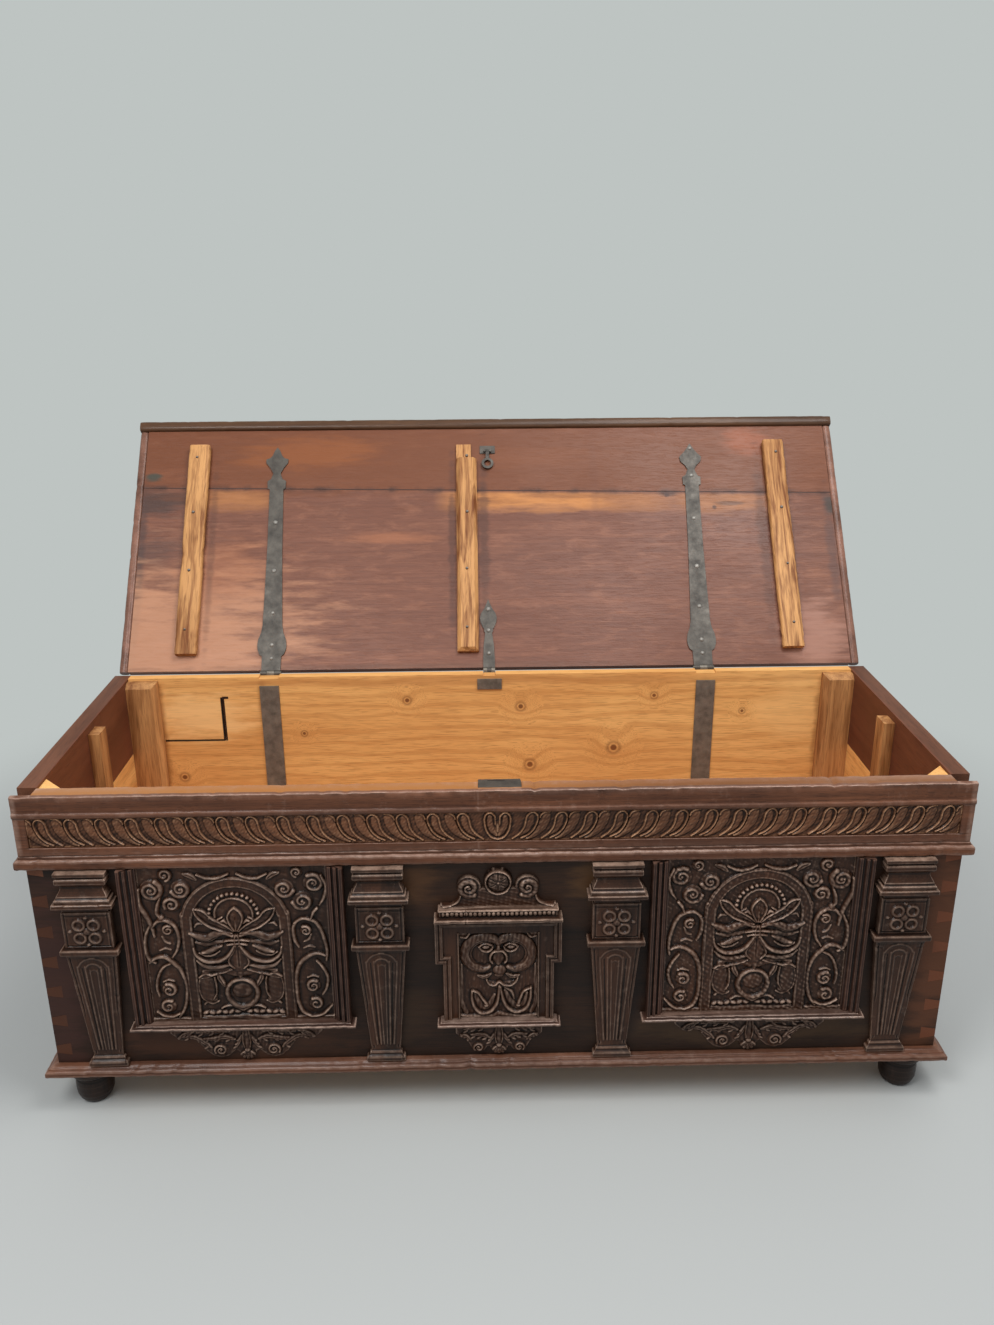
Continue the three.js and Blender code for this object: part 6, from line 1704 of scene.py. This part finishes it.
def bar(name, along, ease, seed, wave=0.5):
    """A bar of the lid with eased edges and uneven faces: its outline carried along x or y."""
    lowest, highest = lid_box(name)
    across = 1 - along
    outline = rounded([(lowest[across], lowest[2]), (highest[across], lowest[2]),
                       (highest[across], highest[2]),
                       (lowest[across], highest[2])], ease, 4)
    count = int((highest[along] - lowest[along]) / 7)
    run = np.linspace(lowest[along], highest[along], count)[:, None]
    end = np.minimum(run - lowest[along], highest[along] - run)
    shrink = 1 - 0.05 * np.clip(1 - end / ease, 0, 1) ** 2
    middle = (lowest + highest) / 2
    a = middle[across] + (outline[None, :, 0] - middle[across]) * shrink
    up = middle[2] + (outline[None, :, 1] - middle[2]) * shrink
    push = np.minimum(wander(run, outline[None, :, 1] * 3, wave, seed) - nicks(run, 20, 850, 1.4, seed + 1),
                      0)
    a = a + push * np.sign(outline[None, :, 0] - middle[across])
    points = [None, None, up]
    points[along] = np.broadcast_to(run, up.shape)
    points[across] = a
    return lid_shell(tube(np.stack(points, -1)))


BATTEN_NAILS = {
    "lid_batten_left": [(-683, s) for s in (530, 388, 243, 100)],
    "lid_batten_right": [(683, s) for s in (530, 385, 243, 100)],
    "lid_batten_middle": [(-50, 527), (-50, 382), (-52, 240), (-53, 98)],
}
STRAP_NAILS = {"lid_strap_left": (366, 245, 142, 66, 34), "lid_strap_right": (549, 477, 366, 245, 146, 66,
                                                                              34),
               "lid_strap_middle": (145, 94, 40)}


STRAP_SPLAY = 9
STRAP_TAB = 42


def strap_middle(name, s):
    """Where a strap's middle lies at a distance from the hinge: a long one leans outwards to its tip."""
    lowest, highest = lid_box(name)
    if name == "lid_strap_middle":
        return (lowest[0] + highest[0]) / 2
    lower = name.replace("lid", "lower")
    root = (low(lower)[0] + high(lower)[0]) / 2
    return root - math.copysign(STRAP_SPLAY, root) * (s - STRAP_TAB) / lowest[1]


def nail_heads(name, spots, sizes, seed):
    """Domed heads on the underside of a batten or strap, each of its own size."""
    draw = np.random.default_rng(seed)
    under = lid_box(name)[0][2] if "batten" in name else -STRAP_FACE
    shells = []
    for x, s in spots:
        radius = sizes.nail_radius / MM * draw.uniform(0.8, 1.15) * (0.7 if "batten" in name else 1)
        shells.append(lid_shell(dome((x, -s, under), (1, 0, 0), (0, 1, 0), (0, 0, -1), radius,
                                     sizes.stud_rise / MM)))
    return shells


STRAP_FACE = 1.5


class AddLidEdges(CofferOperator, bpy.types.Operator):
    """Add the worn mouldings round the lid"""

    bl_idname = "coffer.lid_edges"
    bl_label = "Lid mouldings"

    def build(self, sizes):
        for name, along, seed in (("lid_moulding_front", 0, 81), ("lid_moulding_left", 1, 83),
                                  ("lid_moulding_right", 1, 85)):
            piece(name + "_edge", [bar(name, along, 8, seed, 0.35)],
                  look("lid_side" if along else "lid_edge"),
                  "lid", (name,))


class AddBattens(CofferOperator, bpy.types.Operator):
    """Add the lid's battens and the nails that hold them"""

    bl_idname = "coffer.battens"
    bl_label = "Battens"

    def build(self, sizes):
        for seed, (name, spots) in enumerate(BATTEN_NAILS.items()):
            if name != "lid_batten_middle":
                piece(name + "_bar", [bar(name, 1, 7, 91 + seed, 1.0)], look("batten"), "lid",
                      (name,))
            piece(name + "_nails", nail_heads(name, spots, sizes, 94 + seed), look("nail_dark"),
                  "lid")


class AddStraps(CofferOperator, bpy.types.Operator):
    """Add the nails of the lid's straps"""

    bl_idname = "coffer.straps"
    bl_label = "Strap nails"

    def build(self, sizes):
        for seed, (name, spots) in enumerate(STRAP_NAILS.items()):
            along = [(strap_middle(name, s), s) for s in spots]
            piece(name + "_nails", nail_heads(name, along, sizes, 98 + seed), look("nail"),
                  "lid")


# Boards, camera and light

BOARD_LOOKS = {
    "bottom_board": "pine", "front_board": "front", "side_lower": "side_low", "side_upper": "side_high",
    "back_board": "back", "rear_post": "oak_up", "glue_block": "pine_up", "side_batten": "oak_up",
    "lid_plank": "lid", "lower_strap": "iron_low_lit", "middle_hook": "iron_low_lit", "lock": "iron", "foot": "foot",
    "plinth": "rail", "belt": "rail", "frieze": "rim", "pilaster": "pilaster", "panel": "carved",
    "stile": "rail_up", "sill": "sill", "middle_panel": "carved", "middle_frame": "dark_up",
    "middle_cornice": "carved_level", "middle_sill": "dark_level", "lid_moulding": "lid_edge",
    "lid_batten": "batten", "lid_strap": "iron",
}


def look_of(name):
    """The finish of a solid: that of the longest heading in the list that its name starts with."""
    return look(BOARD_LOOKS[max((start for start in BOARD_LOOKS if name.startswith(start)), key=len)])


def dress(solid, finish):
    """Gives a solid one finish."""
    if not solid.material_slots:
        solid.data.materials.append(finish)
    for place in solid.material_slots:
        place.material = finish


def lamp(name, place, aim, size, power, colour=(1.0, 1.0, 1.0)):
    """A soft square lamp that faces a point."""
    data = bpy.data.lights.new(name, "AREA")
    data.shape = "SQUARE"
    data.size = size
    data.energy = power
    data.color = colour
    made = bpy.data.objects.new(name, data)
    bpy.context.scene.collection.objects.link(made)
    made.location = place
    made.rotation_mode = "QUATERNION"
    made.rotation_quaternion = (Vector(aim) - Vector(place)).to_track_quat("-Z", "Y")


CAMERA_AT = Vector((-0.0316, -2.0041, 1.4928))
CAMERA_BACK_FACE = 0.294
CAMERA_LENS = 29.92
CAMERA_PITCH = 0.342
CAMERA_YAW = 0.0191
CAMERA_ROLL = 0.0068


def add_camera():
    """The camera: it looks down by the pitch, to the right by the yaw, and is rolled about its view."""
    data = bpy.data.cameras.new("camera")
    data.sensor_width = 36
    data.lens = CAMERA_LENS
    ahead = Vector((math.sin(CAMERA_YAW) * math.cos(CAMERA_PITCH),
                    math.cos(CAMERA_YAW) * math.cos(CAMERA_PITCH),
                    -math.sin(CAMERA_PITCH)))
    right = Vector((math.cos(CAMERA_YAW), -math.sin(CAMERA_YAW), 0))
    down = ahead.cross(right)
    right, down = (right * math.cos(CAMERA_ROLL) + down * math.sin(CAMERA_ROLL),
                   down * math.cos(CAMERA_ROLL) - right * math.sin(CAMERA_ROLL))
    turned = Matrix((right, -down, -ahead)).transposed().to_4x4()
    made = bpy.data.objects.new("camera", data)
    bpy.context.scene.collection.objects.link(made)
    made.matrix_world = Matrix.Translation(CAMERA_AT + Vector((0, REAR * MM - CAMERA_BACK_FACE, 0))) @ turned
    bpy.context.scene.camera = made


WALL_COLOUR = tone(190, 196, 194)
FILL_COLOUR = tone(236, 240, 244)
FILL_STRENGTH = 0.62
FLOOR_COLOUR = tone(178, 180, 178)


def add_world():
    """A pale world: seen directly or in gloss it has the wall's colour, and it lights the rest evenly."""
    world = bpy.data.worlds.new("room")
    world.use_nodes = True
    room = Nodes(world.node_tree)
    ray = room.add("LightPath").outputs
    seen = room.most([ray["Is Camera Ray"], ray["Is Glossy Ray"], ray["Is Transmission Ray"]])
    fill = room.add("Background", {"Color": (*FILL_COLOUR, 1.0), "Strength": FILL_STRENGTH})
    shown = room.add("Background", {"Color": (*WALL_COLOUR, 1.0), "Strength": 1.0})
    both = room.add("MixShader", {0: seen, 1: fill.outputs[0], 2: shown.outputs[0]})
    room.add("OutputWorld", {"Surface": both.outputs[0]})
    bpy.context.scene.world = world


FLOOR_REACH = 4.0
FADE_START = 1.25
FADE_END = 2.1


def add_floor():
    """A plain pale floor that turns into the wall's colour with the distance from the chest."""
    mesh = bpy.data.meshes.new("floor")
    corners = [(x, y, 0) for x, y in ((-1, -1), (1, -1), (1, 1), (-1, 1))]
    mesh.from_pydata([tuple(FLOOR_REACH * part for part in corner) for corner in corners], [], [(0, 1, 2, 3)])
    ink = Finish("floor")
    for socket, value in (("Base Color", (*FLOOR_COLOUR, 1.0)), ("Roughness", 0.5),
                          ("Specular IOR Level", 0.25)):
        ink.shader.inputs[socket].default_value = value
    seen = ink.add("LightPath").outputs["Is Camera Ray"]
    far = ink.times(ink.spread(ink.vector("LENGTH", ink.at), FADE_START, FADE_END, smooth=True), seen)
    glow = ink.add("Emission", {"Color": (*WALL_COLOUR, 1.0)}).outputs["Emission"]
    both = ink.add("MixShader", {0: far, 1: ink.shader.outputs["BSDF"], 2: glow}).outputs["Shader"]
    ink.tree.links.new(both, ink.out.inputs["Surface"])
    mesh.materials.append(ink.material)
    floor = bpy.data.objects.new("floor", mesh)
    bpy.context.scene.collection.objects.link(floor)


# Operators


class AddBoards(CofferOperator, bpy.types.Operator):
    """Finish the boards, posts and irons that stay as the solids have them"""

    bl_idname = "coffer.boards"
    bl_label = "Boards and plain irons"

    def build(self, sizes):
        for name, solid in frame["nodes"].items():
            dress(solid, look_of(name))


class AddStage(CofferOperator, bpy.types.Operator):
    """Add the camera, the lamps, the world and the floor"""

    bl_idname = "coffer.stage"
    bl_label = "Stage"

    def build(self, sizes):
        bpy.context.scene.view_settings.view_transform = "Standard"
        add_camera()
        add_world()
        add_floor()
        lamp("window", (-1.2, -2.0, 3.1), (0, -0.1, 0.6), 1.3, 54)
        lamp("ceiling", (0.9, -0.8, 3.3), (0, 0, 0.5), 1.5, 60)


OPERATORS = (AddBoards, AddFrieze, AddPanels, AddMiddle, AddSills, AddPilasters, AddStiles, AddMouldings,
             AddFeet,
             AddLidEdges, AddBattens, AddStraps, AddStage)


class CofferPanel(bpy.types.Panel):
    """The coffer's operators, colours and sizes"""

    bl_idname = "VIEW3D_PT_coffer"
    bl_label = "Coffer chest"
    bl_space_type = "VIEW_3D"
    bl_region_type = "UI"
    bl_category = "Coffer"

    def draw(self, context):
        for settings in (context.scene.coffer_sizes, context.scene.coffer_finishes):
            column = self.layout.column(align=True)
            for name in settings.__annotations__:
                column.prop(settings, name)
        for operator in OPERATORS:
            self.layout.operator(operator.bl_idname)


CLASSES = (CofferFinishes, CofferSizes, *OPERATORS, CofferPanel)


def register():
    """Registers the classes and hangs the settings on the scene."""
    for kind in CLASSES:
        bpy.utils.register_class(kind)
    bpy.types.Scene.coffer_finishes = PointerProperty(type=CofferFinishes)
    bpy.types.Scene.coffer_sizes = PointerProperty(type=CofferSizes)


def unregister():
    """Takes the settings and the classes away."""
    del bpy.types.Scene.coffer_sizes
    del bpy.types.Scene.coffer_finishes
    for kind in reversed(CLASSES):
        bpy.utils.unregister_class(kind)


def main():
    """Builds the coffer's finish."""
    register()
    for operator in OPERATORS:
        group, name = operator.bl_idname.split(".")
        getattr(getattr(bpy.ops, group), name)()


if __name__ == "__main__":
    main()
